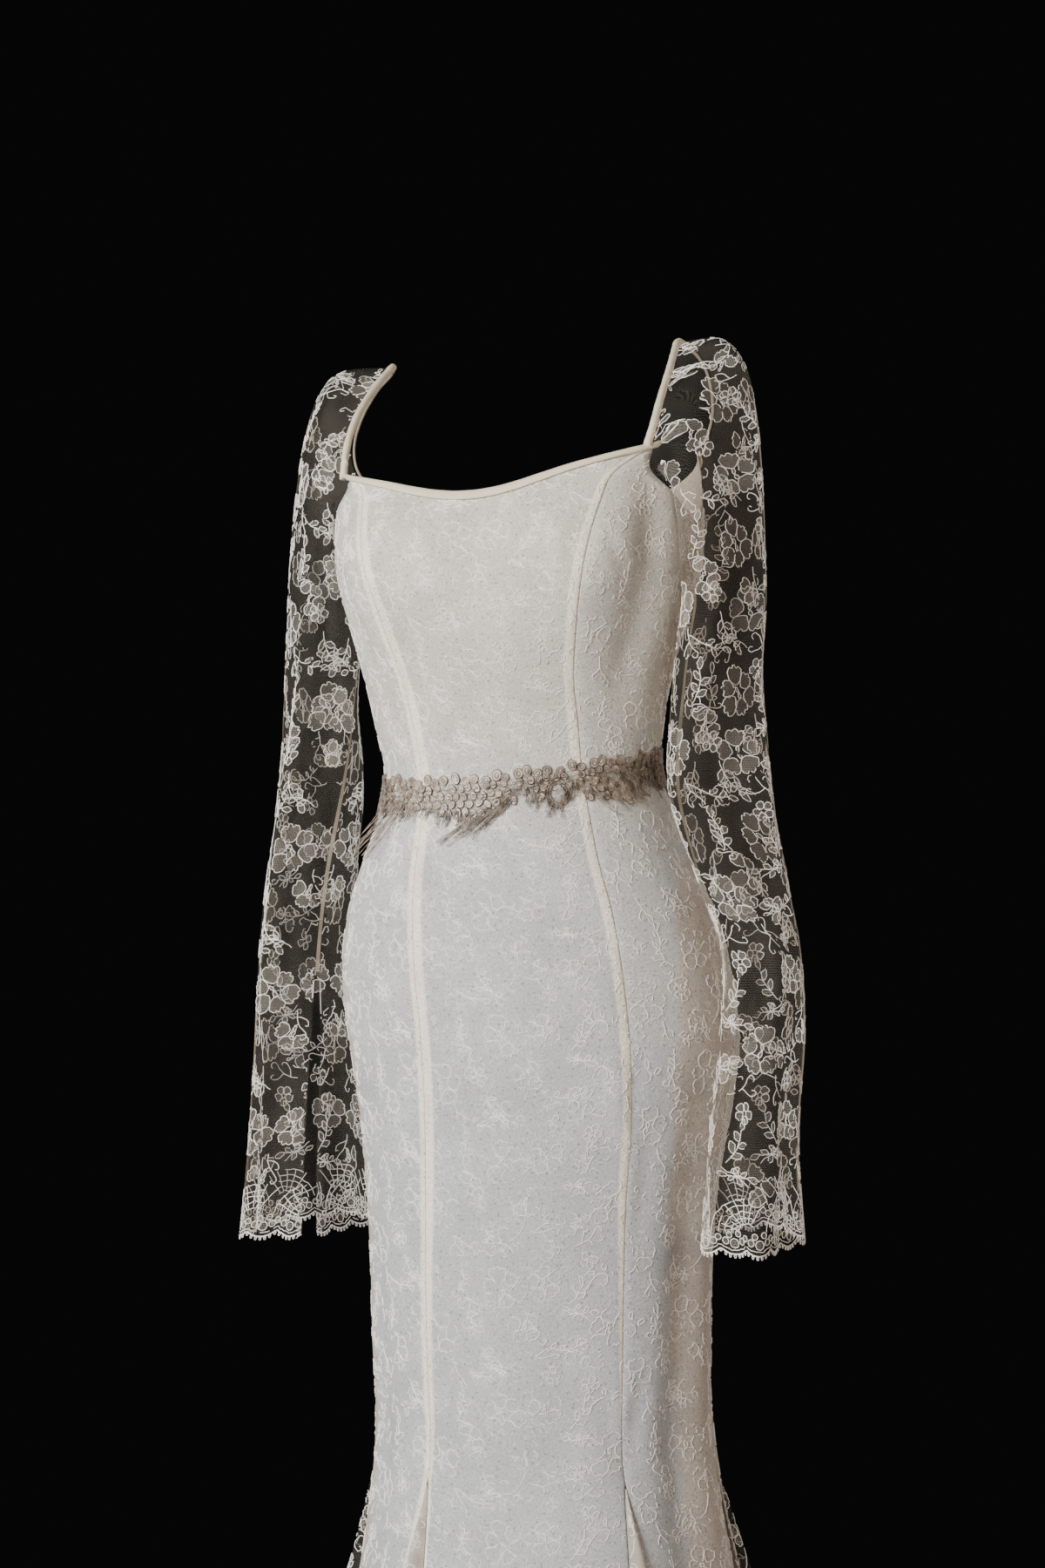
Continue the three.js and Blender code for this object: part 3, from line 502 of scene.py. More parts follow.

# What the crepe's shades follow: the cooler white below the bust, painted beige shade on the sides
# turned from the light, the seam allowances inside, and darker painted shade in hollows, under the
# arms and on the inner wall.
COOL_FROM, COOL_OVER = -330, 150
COOLER_FROM, COOLER_OVER = -625, 4
SIDE_SHADE_EDGES = {"left": 61, "right": 74, "back": 122}
SIDE_SHADE_SPREAD = 2.6
UNDERARM_SHADE = 0.75
INNER_WALL_SHADE = 0.9
ALLOWANCE_TAPER = 12
panel_cuts = {}
panels = {}
for name in PANELS:
    cut = panel_cut(name)
    panel = cloth(name + "_cloth", cut, crepe, CREPE_THICKNESS)
    heights, angles = cut["points"][..., 2], np.degrees(cut["angles"])
    from_first, from_second = cut["across"] - cut["across"][:, [0]], cut["across"][:, [-1]] - cut["across"]
    set_values(panel, "cool", np.clip((COOL_FROM - heights) / COOL_OVER, 0, 1) * 0.75
               + np.clip((COOLER_FROM - heights) / COOLER_OVER, 0, 1) * 0.25)
    # Painted shade on the sides turned from the light, faded out above and below.
    edge = np.where(angles > 0, SIDE_SHADE_EDGES["left"] + 4 * np.sin(heights / 90), SIDE_SHADE_EDGES["right"])
    fade = np.clip((-470 - heights) / 60, 0, 1) * np.clip((heights + 1200) / 60, 0, 1)
    beyond = np.minimum(np.abs(angles) - edge, SIDE_SHADE_EDGES["back"] - np.abs(angles)) * SIDE_SHADE_SPREAD
    set_values(panel, "veil", np.where(fade > 0, beyond - 30 * (1 - fade), -60))
    inside_seam = np.full(heights.shape, 50.0)
    painted_shade = np.zeros(heights.shape)
    if name == "centre_front":
        taper = np.clip((-720 - heights) / 330, 0, 1) * ALLOWANCE_TAPER
        inside_seam = np.minimum(from_first + 0.5 * taper, from_second + taper)
        # Painted shadows in the hollows beside the princess seams, under the bust.
        for depth, inwards, middle, level, length in (
                (0.42, from_second, 17, -205, 42), (0.2, from_first, 16, -230, 50)):
            painted_shade += depth * np.exp(-((inwards - middle) / 7)**2) * np.exp(-((heights - level) / length)**2)
    if name == "side_front_right":
        inside_seam = from_second + 4.5
    # Painted shade under the arms, at the top of the side panels.
    if name.startswith("side"):
        painted_shade = (UNDERARM_SHADE * np.clip((np.abs(angles) - 72) / 18, 0, 1)
                * np.clip((heights + 440) / 120, 0, 1))
    set_values(panel, "inside_seam", inside_seam)
    set_values(panel, "painted_shade", painted_shade)
    apply_modifiers(panel)
    # Painted shade on the inner wall, the inside that the thickness adds.
    shade = np.zeros(len(panel.data.vertices))
    layer = panel.data.attributes["painted_shade"].data
    layer.foreach_get("value", shade)
    shade[heights.size:] = INNER_WALL_SHADE
    layer.foreach_set("value", shade)
    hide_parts(name)
    panel_cuts[name], panels[name] = cut, panel

# The lace that lies on the body panels: fine cotton cord stitched down along drawn flowers, leaves
# and stems, so that it stands a little proud of the tulle. One repeat is 150 mm wide and 109 mm high.
REPEAT_WIDTH = 150
REPEAT_HEIGHT = 109
PETAL = [(0.27, 0), (0.32, -0.15), (0.47, -0.33), (0.66, -0.43), (0.82, -0.39), (0.87, -0.27),
         (0.84, -0.19), (0.97, -0.12), (1.0, 0.02), (0.9, 0.08), (0.98, 0.2), (0.9, 0.33), (0.76, 0.41),
         (0.57, 0.38), (0.4, 0.24)]
LEAF = [(0, 0), (0.3, -0.2), (0.65, -0.22), (1, 0), (0.65, 0.24), (0.3, 0.2)]
SMALL_PETAL = [(0.2, 0), (0.55, -0.36), (0.95, -0.34), (1.05, 0), (0.95, 0.34), (0.55, 0.36)]
FORK = [[(0, 0), (0.2, 0.04), (0.42, 0.02), (0.62, -0.06), (0.8, -0.16), (0.95, -0.12), (0.95, 0),
         (0.86, 0.02)],
        [(0.42, 0.02), (0.52, 0.18), (0.68, 0.32), (0.84, 0.32), (0.84, 0.22), (0.76, 0.2)],
        [(0.2, 0.04), (0.3, -0.14), (0.46, -0.28), (0.58, -0.25), (0.55, -0.17)]]
STEM = [(0, 0), (0.25, 0.06), (0.5, 0.08), (0.75, 0.04), (1, -0.06)]
STEM_LEAVES = [(0.22, 0.05, 48, 0.36), (0.34, 0.06, -44, 0.34), (0.56, 0.08, 42, 0.34),
               (0.68, 0.06, -48, 0.32), (0.98, -0.05, -6, 0.36)]
LACE_MARGIN = 40
REPEAT = [
    ("flower", -42, -26, 12, 19, 6), ("flower", -6, -30, 47, 15, 5), ("flower", 50, 18, 61, 18, 5),
    ("spray", -22, 6, 55, 15, 3), ("spray", 24, 34, 160, 14, 3), ("spray", 76, -2, 250, 14, 4),
    ("blossom", -66, 10, 0, 7.5, 5), ("blossom", 33, -46, 10, 7.5, 5), ("blossom", 0, 50, 15, 7, 4),
    ("sprig", 16, -10, -58, 27, 5), ("sprig", 12, -8, 22, 24, 4), ("sprig", -60, 24, 60, 28, 5),
    ("sprig", -32, 50, 200, 24, 4), ("sprig", 66, -18, -75, 26, 5), ("sprig", 34, 6, 205, 20, 3),
    ("sprig", 70, 44, 20, 24, 4),
    ("scroll", 44, -24, 200, 10, 3), ("scroll", -40, 33, 20, 11, 4),
    ("fork", -22, -10, 75, 25, 0), ("fork", 20, 50, -25, 28, 0), ("fork", 62, 36, 75, 24, 0),
    ("fork", -70, -14, 200, 20, 0), ("fork", -18, 32, 10, 26, 0),
    ("arc", -12, 20, 8, 42, 5),
]


def smooth_line(points, closed, each):
    """A smooth line through a few points, with some steps between each two."""
    points = np.asarray(points, float)
    if closed:
        before, following = np.roll(points, 1, axis=0), np.roll(points, -1, axis=0)
        after = np.roll(points, -2, axis=0)
    else:
        before = np.concatenate([points[:1], points[:-2]])
        following, after = points[1:], np.concatenate([points[2:], points[-1:]])
        points, last = points[:-1], points[-1:]
    t = np.arange(each)[:, None, None] / each
    line = 0.5 * (2 * points + (following - before) * t
                  + (2 * before - 5 * points + 4 * following - after) * t**2
                  + (3 * points - before - 3 * following + after) * t**3)
    line = line.transpose(1, 0, 2).reshape(-1, 2)
    return np.concatenate([line, line[:1] if closed else last])


def drawn(shape, x, y, turn, size, closed=False, each=1):
    """A line of the pattern, turned, sized and set down on the flat cut. Across is x and down is y."""
    line = smooth_line(shape, closed, each) * size
    cos, sin = math.cos(math.radians(turn)), math.sin(math.radians(turn))
    return np.stack([x + line[:, 0] * cos - line[:, 1] * sin,
                     y + line[:, 0] * sin + line[:, 1] * cos], axis=1)


def motif(kind, x, y, turn, size, count, each):
    """One motif's closed outlines, whose cloth is denser, and its open lines. A spray is a flower of
    which only some petals show."""
    shapes, lines = [], []

    def leaf(a, b, lean, length):
        foot = drawn([(a, b), (a, b)], x, y, turn, size)[0]
        shapes.append(drawn(LEAF, *foot, turn + lean, size * length, True, each))

    if kind in ("flower", "spray"):
        round_it = count if kind == "flower" else 5.4
        squeeze = 5.1 / round_it
        for k in range(count):
            petal = [(a, b * squeeze * (1 if k % 2 else -1)) for a, b in PETAL]
            grown = size * (1 + 0.09 * math.sin(3.1 * k + x))
            shapes.append(drawn(petal, x, y, turn + 360 * k / round_it, grown, True, each))
        leaf(0, 0, 60, 0.3)
        leaf(0, 0, 210, 0.3)
    if kind == "blossom":
        for k in range(count):
            shapes.append(drawn(SMALL_PETAL, x, y, turn + 360 * k / count, size, True, each))
    if kind == "sprig":
        lines.append(drawn(STEM, x, y, turn, size, False, each))
        for row in STEM_LEAVES[5 - count:]:
            leaf(*row)
    if kind == "scroll":
        coil = [((1 - 0.11 * k) * math.cos(0.75 * k), (1 - 0.11 * k) * math.sin(0.75 * k)) for k in range(9)]
        lines.append(drawn([(1.1, -1.5), (1.15, -0.7)] + coil, x, y, turn, size, False, each))
        for k in range(count):
            a = 0.6 + 0.9 * k
            leaf(1.02 * math.cos(a), 1.02 * math.sin(a), math.degrees(a) - 30, 0.75)
    if kind == "fork":
        lines += [drawn(line, x, y, turn, size, False, each) for line in FORK]
    if kind == "arc":
        bow = [(s, 0.16 * math.sin(math.pi * s)) for s in np.linspace(0, 1, 9)]
        lines.append(drawn(bow, x, y, turn, size, False, each))
        for s in np.linspace(0.12, 0.88, count):
            leaf(s, 0.16 * math.sin(math.pi * s), 40 * s - 70, 0.15)
    return shapes, lines


def lace_over(cut, each, aside=0, up=0, stray=0.35, grown=1.0, left_out=()):
    """The pattern's outlines and lines over a whole piece, repeated. No two are quite alike, because
    the cord strays a little from its line as it is sewn."""
    motifs = [motif(*row, each) for row in REPEAT if row[0] not in left_out]
    shapes = [shape * grown for found in motifs for shape in found[0]]
    lines = [line * grown for found in motifs for line in found[1]]
    wide, tall = REPEAT_WIDTH * grown, REPEAT_HEIGHT * grown
    rows = cut["rows"]
    low, high = cut["across"][:rows].min() - LACE_MARGIN, cut["across"][:rows].max() + LACE_MARGIN
    top, foot = cut["down"][:rows].min() - LACE_MARGIN, cut["down"][:rows].max() + LACE_MARGIN
    moves = [np.array([i * wide + aside, j * tall + up])
             for i in range(math.floor((low - aside) / wide), math.ceil((high - aside) / wide) + 1)
             for j in range(math.floor((top - up) / tall), math.ceil((foot - up) / tall) + 1)]
    random = np.random.default_rng(int(high - low) + rows)

    def kept(line):
        middle = line.mean(axis=0)
        return low < middle[0] < high and top < middle[1] < foot

    def by_hand(line):
        strayed = random.normal(0, stray, line.shape)
        if (line[0] == line[-1]).all():
            strayed[-1] = strayed[0]
        return line + strayed

    return ([by_hand(s) for s in (s + move for move in moves for s in shapes) if kept(s)],
            [by_hand(s) for s in (s + move for move in moves for s in lines) if kept(s)])


def on_cloth(cut, flat_points, out, spare=False):
    """Where points of the flat pattern lie on a piece of cloth, moved out from it. Those past its
    edges are left as nan."""
    rows = len(cut["points"]) if spare else cut["rows"]
    columns = cut["points"].shape[1]
    across, down = flat_points[:, 0], flat_points[:, 1]
    found, reach = [], []
    for i in range(rows):
        at = np.interp(across, cut["across"][i], np.arange(columns), left=np.nan, right=np.nan)
        found.append(at)
        reach.append(np.interp(at, np.arange(columns), cut["down"][i]))
    found, reach = np.array(found), np.array(reach)
    between = (reach[:-1] <= down) & (down < reach[1:])
    i = between.argmax(axis=0)
    every = np.arange(len(across))
    share = (down - reach[i, every]) / (reach[i + 1, every] - reach[i, every])
    raised = cut["points"] + cut["normals"] * out
    sides = []
    for row, part in ((i, 1 - share), (i + 1, share)):
        at = np.nan_to_num(found[row, every])
        j = np.clip(at.astype(int), 0, columns - 2)
        f = (at - j)[:, None]
        sides.append(part[:, None] * (raised[row, j] * (1 - f) + raised[row, j + 1] * f))
    placed = sides[0] + sides[1]
    placed[~between.any(axis=0)] = np.nan
    return placed


def cord_work(name, cut, lines, width, height, material, base=-0.1, spare=False, lift=0.0, sunk=1.0):
    """Cord sewn along lines of the flat pattern: each is a low ridge on the cloth, or lifted off it.
    Where it has sunk into the cloth, it is left out."""
    points = np.concatenate(lines)
    which = np.repeat(np.arange(len(lines)), [len(line) for line in lines])
    ahead, behind = np.roll(points, -1, axis=0), np.roll(points, 1, axis=0)
    ahead[np.roll(which, -1) != which] = points[np.roll(which, -1) != which]
    behind[np.roll(which, 1) != which] = points[np.roll(which, 1) != which]
    along = ahead - behind
    along /= np.maximum(np.linalg.norm(along, axis=1, keepdims=True), 1e-9)
    side = np.stack([along[:, 1], -along[:, 0]], axis=1) * width / 2
    ridge = []
    for flat, out in ((points + side, base), (points, height), (points - side, base)):
        placed = on_cloth(cut, flat, out, spare)
        ridge.append(placed + (on_cloth(cut, flat, out + 1, spare) - placed) * np.reshape(lift, (-1, 1)))
    good = ~np.isnan(sum(r[:, 0] for r in ridge))
    joined = good & np.roll(good, -1) & (np.roll(which, -1) == which)
    x, y = points[:, 0], points[:, 1]
    joined &= np.sin(x / 3.3 + 2.1 * np.sin(y / 4.4)) * np.sin(y / 2.7 + 1.7 * np.sin(x / 5.3)) < sunk
    joined[-1] = False
    start = np.nonzero(joined)[0]
    count = len(points)
    left, top, right = start, start + count, start + 2 * count
    faces = np.concatenate([np.stack([left, top, top + 1, left + 1], axis=1),
                            np.stack([top, right, right + 1, top + 1], axis=1)])
    used, faces = np.unique(faces, return_inverse=True)
    return new_piece(name, np.concatenate(ridge)[used], faces.reshape(-1, 4).tolist(), material)


# Mercerised cotton cord: a soft low gloss and a fine twist, drawn at 1.2 mm so that it shows.
cord, shader = new_material("white cotton cord", {"Roughness": 0.55, "Specular IOR Level": 0.4})
place = add_node(cord, "TexCoord", {}, out="Object")
twist = add_node(cord, "TexNoise", {"Scale": 1 / 0.0012, "Detail": 1.0}, {"Vector": place})
patchy = add_node(cord, "TexNoise", {"Scale": 1 / 0.03, "Detail": 2.0}, {"Vector": place})
white = add_node(cord, "Mix", {"data_type": "RGBA", 6: linear("f2eee4"), 7: linear("ffffff")}, {0: patchy}, 2)
bump = add_node(cord, "Bump", {"Strength": 0.5, "Distance": 0.0003}, {"Height": twist})
feed(shader, {"Base Color": white, "Normal": bump})

LACE_SET = {"centre_front": (26, -18), "side_front_left": (50, 30), "side_back_left": (-20, 8),
            "centre_back_left": (40, -30), "centre_back_right": (-40, -30), "side_back_right": (20, 8),
            "side_front_right": (-50, 22)}
for name, cut in panel_cuts.items():
    shapes, lines = lace_over(cut, 1, *LACE_SET[name], stray=0.55)
    lace = cord_work(name + "_lace", cut, shapes + lines, 0.85, 0.7, cord, sunk=0.42)
    width, length, area = flat_size(cut)

# The seven godets: tapered pieces of the sheer lace let into the seams below the knee, cut on a
# curve and without a lining, so they stand out in flutes and the light passes through them.
GODETS = {"front_r": "front_right", "front_l": "front_left", "side_r": "side_right", "side_l": "side_left",
          "back_r": "back_right", "back_l": "back_left", "centre_back_l": "centre_back"}


MESH_PITCH = 0.0021
WAVE_LENGTH = 0.314  # a wave texture of scale 1 repeats at this length


def new_net(name, thread, hole_share, solid_share, folded=0.0):
    """Fine cotton net with level bars, drawn with the holes between its threads partly clear. The
    real mesh is under 1 mm, too fine to show, so its bars are drawn 2.1 mm apart. A net that lies in
    folds is denser and darker along them."""
    net, shader = new_material(
        name, {"Base Color": linear(thread), "Roughness": 0.8, "Specular IOR Level": 0.2})
    flat = add_node(net, "UVMap", {"uv_map": "flat_cut"})
    leaning = add_node(net, "Mapping", {"Rotation": (0, 0, math.radians(60))}, {"Vector": flat})
    waves = {"bands_direction": "Y", "Scale": WAVE_LENGTH / MESH_PITCH, "Distortion": 0.6}
    bars, sides = [add_node(net, "TexWave", waves, {"Vector": way}, "Fac") for way in (flat, leaning)]
    threads = add_node(net, "Math", {"operation": "MAXIMUM"}, {0: bars, 1: sides})
    uneven = add_node(net, "TexNoise", {"Scale": 1 / 0.025, "Detail": 3.0}, {"Vector": flat})
    dense, cover = [
        add_node(net, "MapRange", {"From Min": a, "From Max": b, "To Min": c, "To Max": d}, {"Value": source})
        for source, a, b, c, d in (
            (uneven, 0.3, 0.7, 0.75, 1.25), (threads, 0.45, 0.95, hole_share, solid_share))]
    alpha = add_node(net, "Math", {"operation": "MULTIPLY"}, {0: cover, 1: dense})
    if folded:
        fold = add_node(net, "Attribute", {"attribute_name": "fold"}, out="Fac")
        alpha = add_node(net, "Math", {"operation": "MULTIPLY_ADD", "use_clamp": True, 1: folded},
                         {0: fold, 2: alpha})
        shade = add_node(net, "Mix", {"data_type": "RGBA", 6: linear(thread), 7: linear("9d8b77")},
                         {0: fold}, 2)
        feed(shader, {"Base Color": shade})
    feed(shader, {"Alpha": alpha})
    return net


sheer_net = new_net("ivory cotton net", "c4bdb0", 0.0, 0.075, 0.72)
doubled_net = new_net("ivory cotton net laid double", "c6bfb6", 0.74, 0.92)
clothwork = new_net("ivory lace clothwork", "d6d0c5", 0.05, 0.19)
rolled_net = new_net("rolled net seam", "d6ccb8", 0.45, 0.8)


def lace_fills(name, cut, shapes, material, out=0.2):
    """The denser clothwork inside closed outlines, each a shallow fan from its middle."""
    points = np.concatenate([np.concatenate([s[:-1], s[:-1].mean(axis=0, keepdims=True)]) for s in shapes])
    faces, first = [], 0
    for s in shapes:
        edge = np.arange(len(s) - 1)
        faces.append(np.stack([edge, np.roll(edge, -1), np.full(len(edge), len(edge))], axis=1) + first)
        first += len(s)
    faces = np.concatenate(faces)
    placed = on_cloth(cut, points, out)
    faces = faces[~np.isnan(placed[:, 0])[faces].any(axis=1)]
    used, index = np.unique(faces, return_inverse=True)
    flat = np.stack([points[used, 0], -points[used, 1]], axis=1)
    index = index.reshape(-1, 3)
    a, b, c = (placed[used][index[:, k]] for k in range(3))
    facing = np.cross(b - a, c - a)
    nearest = points[used][index].mean(axis=1)
    outwards = on_cloth(cut, nearest, 2) - on_cloth(cut, nearest, 0)
    wrong = np.nan_to_num((facing * outwards).sum(axis=1)) < 0
    index[wrong] = index[wrong][:, ::-1]
    return new_piece(name, placed[used], index.tolist(), material, flat)


def godet_cut(seam):
    """A godet, from its point at the seam to the hem."""
    shares = np.linspace(0, 1, 17)
    z = np.linspace(GODET_TOP - 6, HEM, 56)[:, None]
    reach = godet_half_angle(z) - girth_angle(SEAM_GAP / 2, z)
    angles = seam_angle(seam, z) - reach + 2 * reach * shares
    return cut_piece(body_point(angles, np.broadcast_to(z, angles.shape)), 8, 0)


for k, (seam, place) in enumerate(GODETS.items()):
    cut = godet_cut(seam)
    godet = cloth("godet_" + place + "_net", cut, doubled_net if place.startswith("front") else sheer_net)
    shapes, lines = lace_over(cut, 1, 30 * math.sin(2.4 * k), 20 * k)
    fills = lace_fills("godet_" + place + "_clothwork", cut, shapes, clothwork)
    lace = cord_work("godet_" + place + "_lace", cut, shapes + lines, 0.95, 0.5, cord)
    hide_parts("godet_" + place)
    width, length, area = flat_size(cut)

# The bindings: bias strips of cream satin-backed crepe folded over the raw edges of the neckline and
# sewn flat, and rolled over a cord along each sleeve's neck edge, where they are the shoulder straps.
BINDING_WIDTH = 7
STRAP_RADIUS = 3.6
STRAP_RINGS = 84
STRAP_AROUND = 12
FRONT_CORNER = math.radians(67)
BACK_CORNER = math.radians(100)
STRAP_PATH = np.array([(145.5, -52, -92), (146.5, -27, -62), (145, 6, -34), (142, 33, -14), (141, 52, -3),
                       (149, 62, -9), (161, 58, -24), (171, 46, -48), (175, 34, -75), (170, 25, -98)], float)

# Satin-backed crepe with its matt side out: hardly any shine, a fine grain drawn at 1.2 mm so that it
# shows, and a cream that is a little soiled in places. Along the back half of a strap, where it is thin,
# the cream is darkened by painted shade.
binding_crepe, shader = new_material("cream bias binding", {"Roughness": 0.6, "Sheen Weight": 0.1})
place = add_node(binding_crepe, "TexCoord", {}, out="Object")
weave = add_node(binding_crepe, "TexNoise", {"Scale": 1 / 0.0012, "Detail": 2.0}, {"Vector": place})
soiled = add_node(binding_crepe, "TexNoise", {"Scale": 1 / 0.02, "Detail": 3.0}, {"Vector": place})
# Painted shade on the back half of each strap.
strap_back_shade = add_node(binding_crepe, "Attribute", {"attribute_name": "strap_back_shade"}, out="Fac")
cream = add_node(binding_crepe, "Mix", {"data_type": "RGBA", 6: linear("ddd1b6"), 7: linear("efe6d0")},
                 {0: soiled}, 2)
cream = add_node(binding_crepe, "Mix", {"data_type": "RGBA", 7: linear("7d705d")}, {0: strap_back_shade, 6: cream}, 2)
bump = add_node(binding_crepe, "Bump", {"Strength": 0.5, "Distance": 0.0004}, {"Height": weave})
feed(shader, {"Base Color": cream, "Normal": bump})


def roll(name, rings, material):
    """A rolled strip: a closed tube through rings of points, with its ends closed."""
    rings = np.asarray(rings)
    count, around = rings.shape[:2]
    corner = np.arange(count * around).reshape(count, around)
    faces = np.stack([corner[:-1], np.roll(corner[:-1], -1, axis=1), np.roll(corner[1:], -1, axis=1),
                      corner[1:]], axis=-1).reshape(-1, 4).tolist()
    faces += [corner[0][::-1].tolist(), corner[-1].tolist()]
    piece = new_piece(name, rings, faces, material)
    pick(piece)
    bpy.ops.object.mode_set(mode="EDIT")
    bpy.ops.mesh.select_all(action="SELECT")
    bpy.ops.mesh.normals_make_consistent(inside=False)
    bpy.ops.object.mode_set(mode="OBJECT")
    return piece


def path_length(points):
    """How long a path in mm is, in metres."""
    return float(np.linalg.norm(np.diff(np.asarray(points), axis=0), axis=1).sum()) / 1000


def neck_binding(name, names, steps, past):
    """The neckline's binding over the top edges of some panels, and past them by a share."""
    rings = []
    for panel in names:
        for share in np.linspace(-past, 1 + past, steps):
            top = PANELS[panel][2](share)
            ring = []
            for turn in np.linspace(0, 2 * math.pi, 11)[:-1]:
                down = BINDING_WIDTH / 2 - 0.3 - (BINDING_WIDTH / 2 + 0.6) * math.cos(turn)
                out = 1.4 + 1.3 * math.sin(turn) + 0.1 * math.sin(share * 61)
                ring.append(body_out(panel_angle(panel, share, top - down), top - down, out))
            rings.append(ring)
    return roll(name, rings, binding_crepe), path_length(np.mean(rings, axis=1))


for place, names, steps, past in (("front", ["centre_front"], 65, 0.02),
                                  ("back", ["centre_back_left", "centre_back_right"], 33, 0)):
    binding, length = neck_binding(f"neck_binding_{place}_roll", names, steps, past)
    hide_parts("neck_binding_" + place)


def strap_curve(side):
    """The strap's middle line from the front corner to the back one: a function of a share along it."""
    corner = NECK_CORNER + NECK_SLANT * side * NECK_HALF
    front = body_out(side * FRONT_CORNER, corner - 2, 1.2)
    back = body_point(side * BACK_CORNER, corner) + (0, 0, 5)
    points = np.array([front, *(STRAP_PATH * (side, 1, 1)), back])
    points = np.concatenate([[2 * points[0] - points[1]], points, [2 * points[-1] - points[-2]]])

    def at(share):
        i = min(int(share * (len(points) - 3)), len(points) - 4)
        t = share * (len(points) - 3) - i
        p = points[i:i + 4]
        gaps = np.linalg.norm(np.diff(p, axis=0), axis=1) ** 0.5
        slope = [((p[k] - p[k - 1]) / gaps[k - 1] - (p[k + 1] - p[k - 1]) / (gaps[k - 1] + gaps[k])
                  + (p[k + 1] - p[k]) / gaps[k]) * gaps[1] for k in (1, 2)]
        a, b = p[1], p[2]
        return (a + slope[0] * t + (3 * b - 3 * a - 2 * slope[0] - slope[1]) * t**2
                + (2 * a - 2 * b + slope[0] + slope[1]) * t**3)
    return at


for side, word in ((1, "left"), (-1, "right")):
    curve = strap_curve(side)
    path = np.array([curve(share) for share in np.linspace(0, 1, STRAP_RINGS)])
    along = np.gradient(path, axis=0)
    along /= np.linalg.norm(along, axis=1, keepdims=True)
    aside = np.cross(along, (0, 0.35, 1.0))
    aside /= np.linalg.norm(aside, axis=1, keepdims=True)
    upright = np.cross(aside, along)
    rings = []
    for k, (p, a, u) in enumerate(zip(path, aside, upright)):
        narrowing = 1 - 0.66 * min(max((k - 38) / 12, 0), 1)
        radius = STRAP_RADIUS * narrowing * (1 + 0.04 * math.sin(1.7 * k) + 0.03 * math.sin(0.6 * k + side))
        rings.append([p + radius * (0.92 * a * math.cos(t) + u * math.sin(t))
                      for t in np.linspace(0, 2 * math.pi, STRAP_AROUND + 1)[:-1]])
    strap = roll(f"strap_{word}_binding", rings, binding_crepe)
    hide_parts(f"strap_{word}")
    # Painted shade along the back half of the strap, where it is thin.
    set_values(strap, "strap_back_shade", np.repeat(np.clip((np.arange(STRAP_RINGS) - 40) / 10, 0, 0.75), STRAP_AROUND))

# The sleeves: one piece each of the sheer lace with its scalloped edge at the wrist. The seam runs
# under the arm, comes round towards the front and is left open as a slit below the elbow.
SLEEVE_COLUMNS = ("z", "across", "y", "half_across", "half_deep", "tilt", "twist", "fold", "spread")
LEFT_SLEEVE = np.array([
    (-245, 193, -4, 30, 60, 8, 0, 1, 2),
    (-325, 188, -14, 31, 59, 14, 14, 1.5, 2),
    (-405, 189, -20, 33, 58, 24, 22, 2, 2),
    (-480, 205, -20, 34, 58, 8, 26, 3, 2),
    (-556, 219, -20, 34, 58, -14, 28, 3, 2),
    (-632, 217, -22, 36, 60, -8, 30, 4, 3.5),
    (-708, 209, -26, 38, 64, -10, 30, 5, 3.5),
    (-800, 207, -30, 41, 70, -6, 32, 6, 3),
], dtype=[(name, float) for name in SLEEVE_COLUMNS])
RIGHT_SLEEVE = np.array([
    (-245, 193, -4, 33, 60, 14, 0, 1, 2),
    (-325, 195, -12, 33, 59, 14, 14, 2, 2),
    (-400, 197, -18, 34, 58, 0, 22, 3, 2),
    (-475, 207, -20, 34, 58, -5, 26, 3, 2),
    (-556, 217, -20, 35, 58, -7, 28, 3, 2),
    (-637, 215, -22, 36, 60, -14, 28, 4, 5),
    (-717, 214, -26, 38, 65, -20, 28, 5, 8),
    (-806, 215, -30, 41, 71, -22, 28, 6, 10),
], dtype=[(name, float) for name in SLEEVE_COLUMNS])
SLEEVE_TOP = -240
SLIT_TOP = -574
CUFF = -803
SLEEVE_FOLDS = 5
SLEEVE_RADIUS = 48
SLIT_ROWS = 31
BODY_CLEARANCE = 2.6
FRONT_TURN = 105
BACK_TURN = 118
HEAD_ROWS = 22
FOLD_TURN = math.radians(20)


def clear_of_body(points):
    """Points moved out until they are clear of the body at their height."""
    z = points[..., 2]
    middle = np.stack([section(SECTIONS, "shift", z), np.zeros_like(z), z], axis=-1)
    away = points - middle
    heading = np.arctan2(away[..., 0], -away[..., 1]) - np.radians(section(SECTIONS, "turn", z))
    surface = np.linalg.norm(body_point(heading, z) - middle, axis=-1)
    distance = np.linalg.norm(away, axis=-1)
    reach = np.maximum(distance, surface + BODY_CLEARANCE)
    return middle + away * (reach / distance)[..., None]


def sleeve_point(side, turn, level):
    """A point of a sleeve at a turn round it, in degrees from its outer line to the front."""
    table = LEFT_SLEEVE if side > 0 else RIGHT_SLEEVE
    s = {name: section(table, name, level) for name in SLEEVE_COLUMNS[1:]}
    slit_edge = np.sign(turn) * (180 - s["spread"] * 180 / (math.pi * SLEEVE_RADIUS))
    turn = np.where(np.abs(turn) > 175, slit_edge, turn)
    at = np.radians(turn - s["twist"])
    ripple = 1 + s["fold"] / 50 * np.cos(SLEEVE_FOLDS * at + 0.6 * side)
    ripple = ripple + 0.018 * np.sin(9 * at + level / 38) + 0.014 * np.sin(14 * at - level / 61 + side)
    across, forward = s["half_across"] * np.cos(at) * ripple, s["half_deep"] * np.sin(at) * ripple
    tilt = np.radians(s["tilt"])
    outward = s["across"] + across * np.cos(tilt) - forward * np.sin(tilt)
    back = s["y"] - forward * np.cos(tilt) - across * np.sin(tilt)
    return np.stack([side * outward, back, np.broadcast_to(level, outward.shape)], axis=-1)


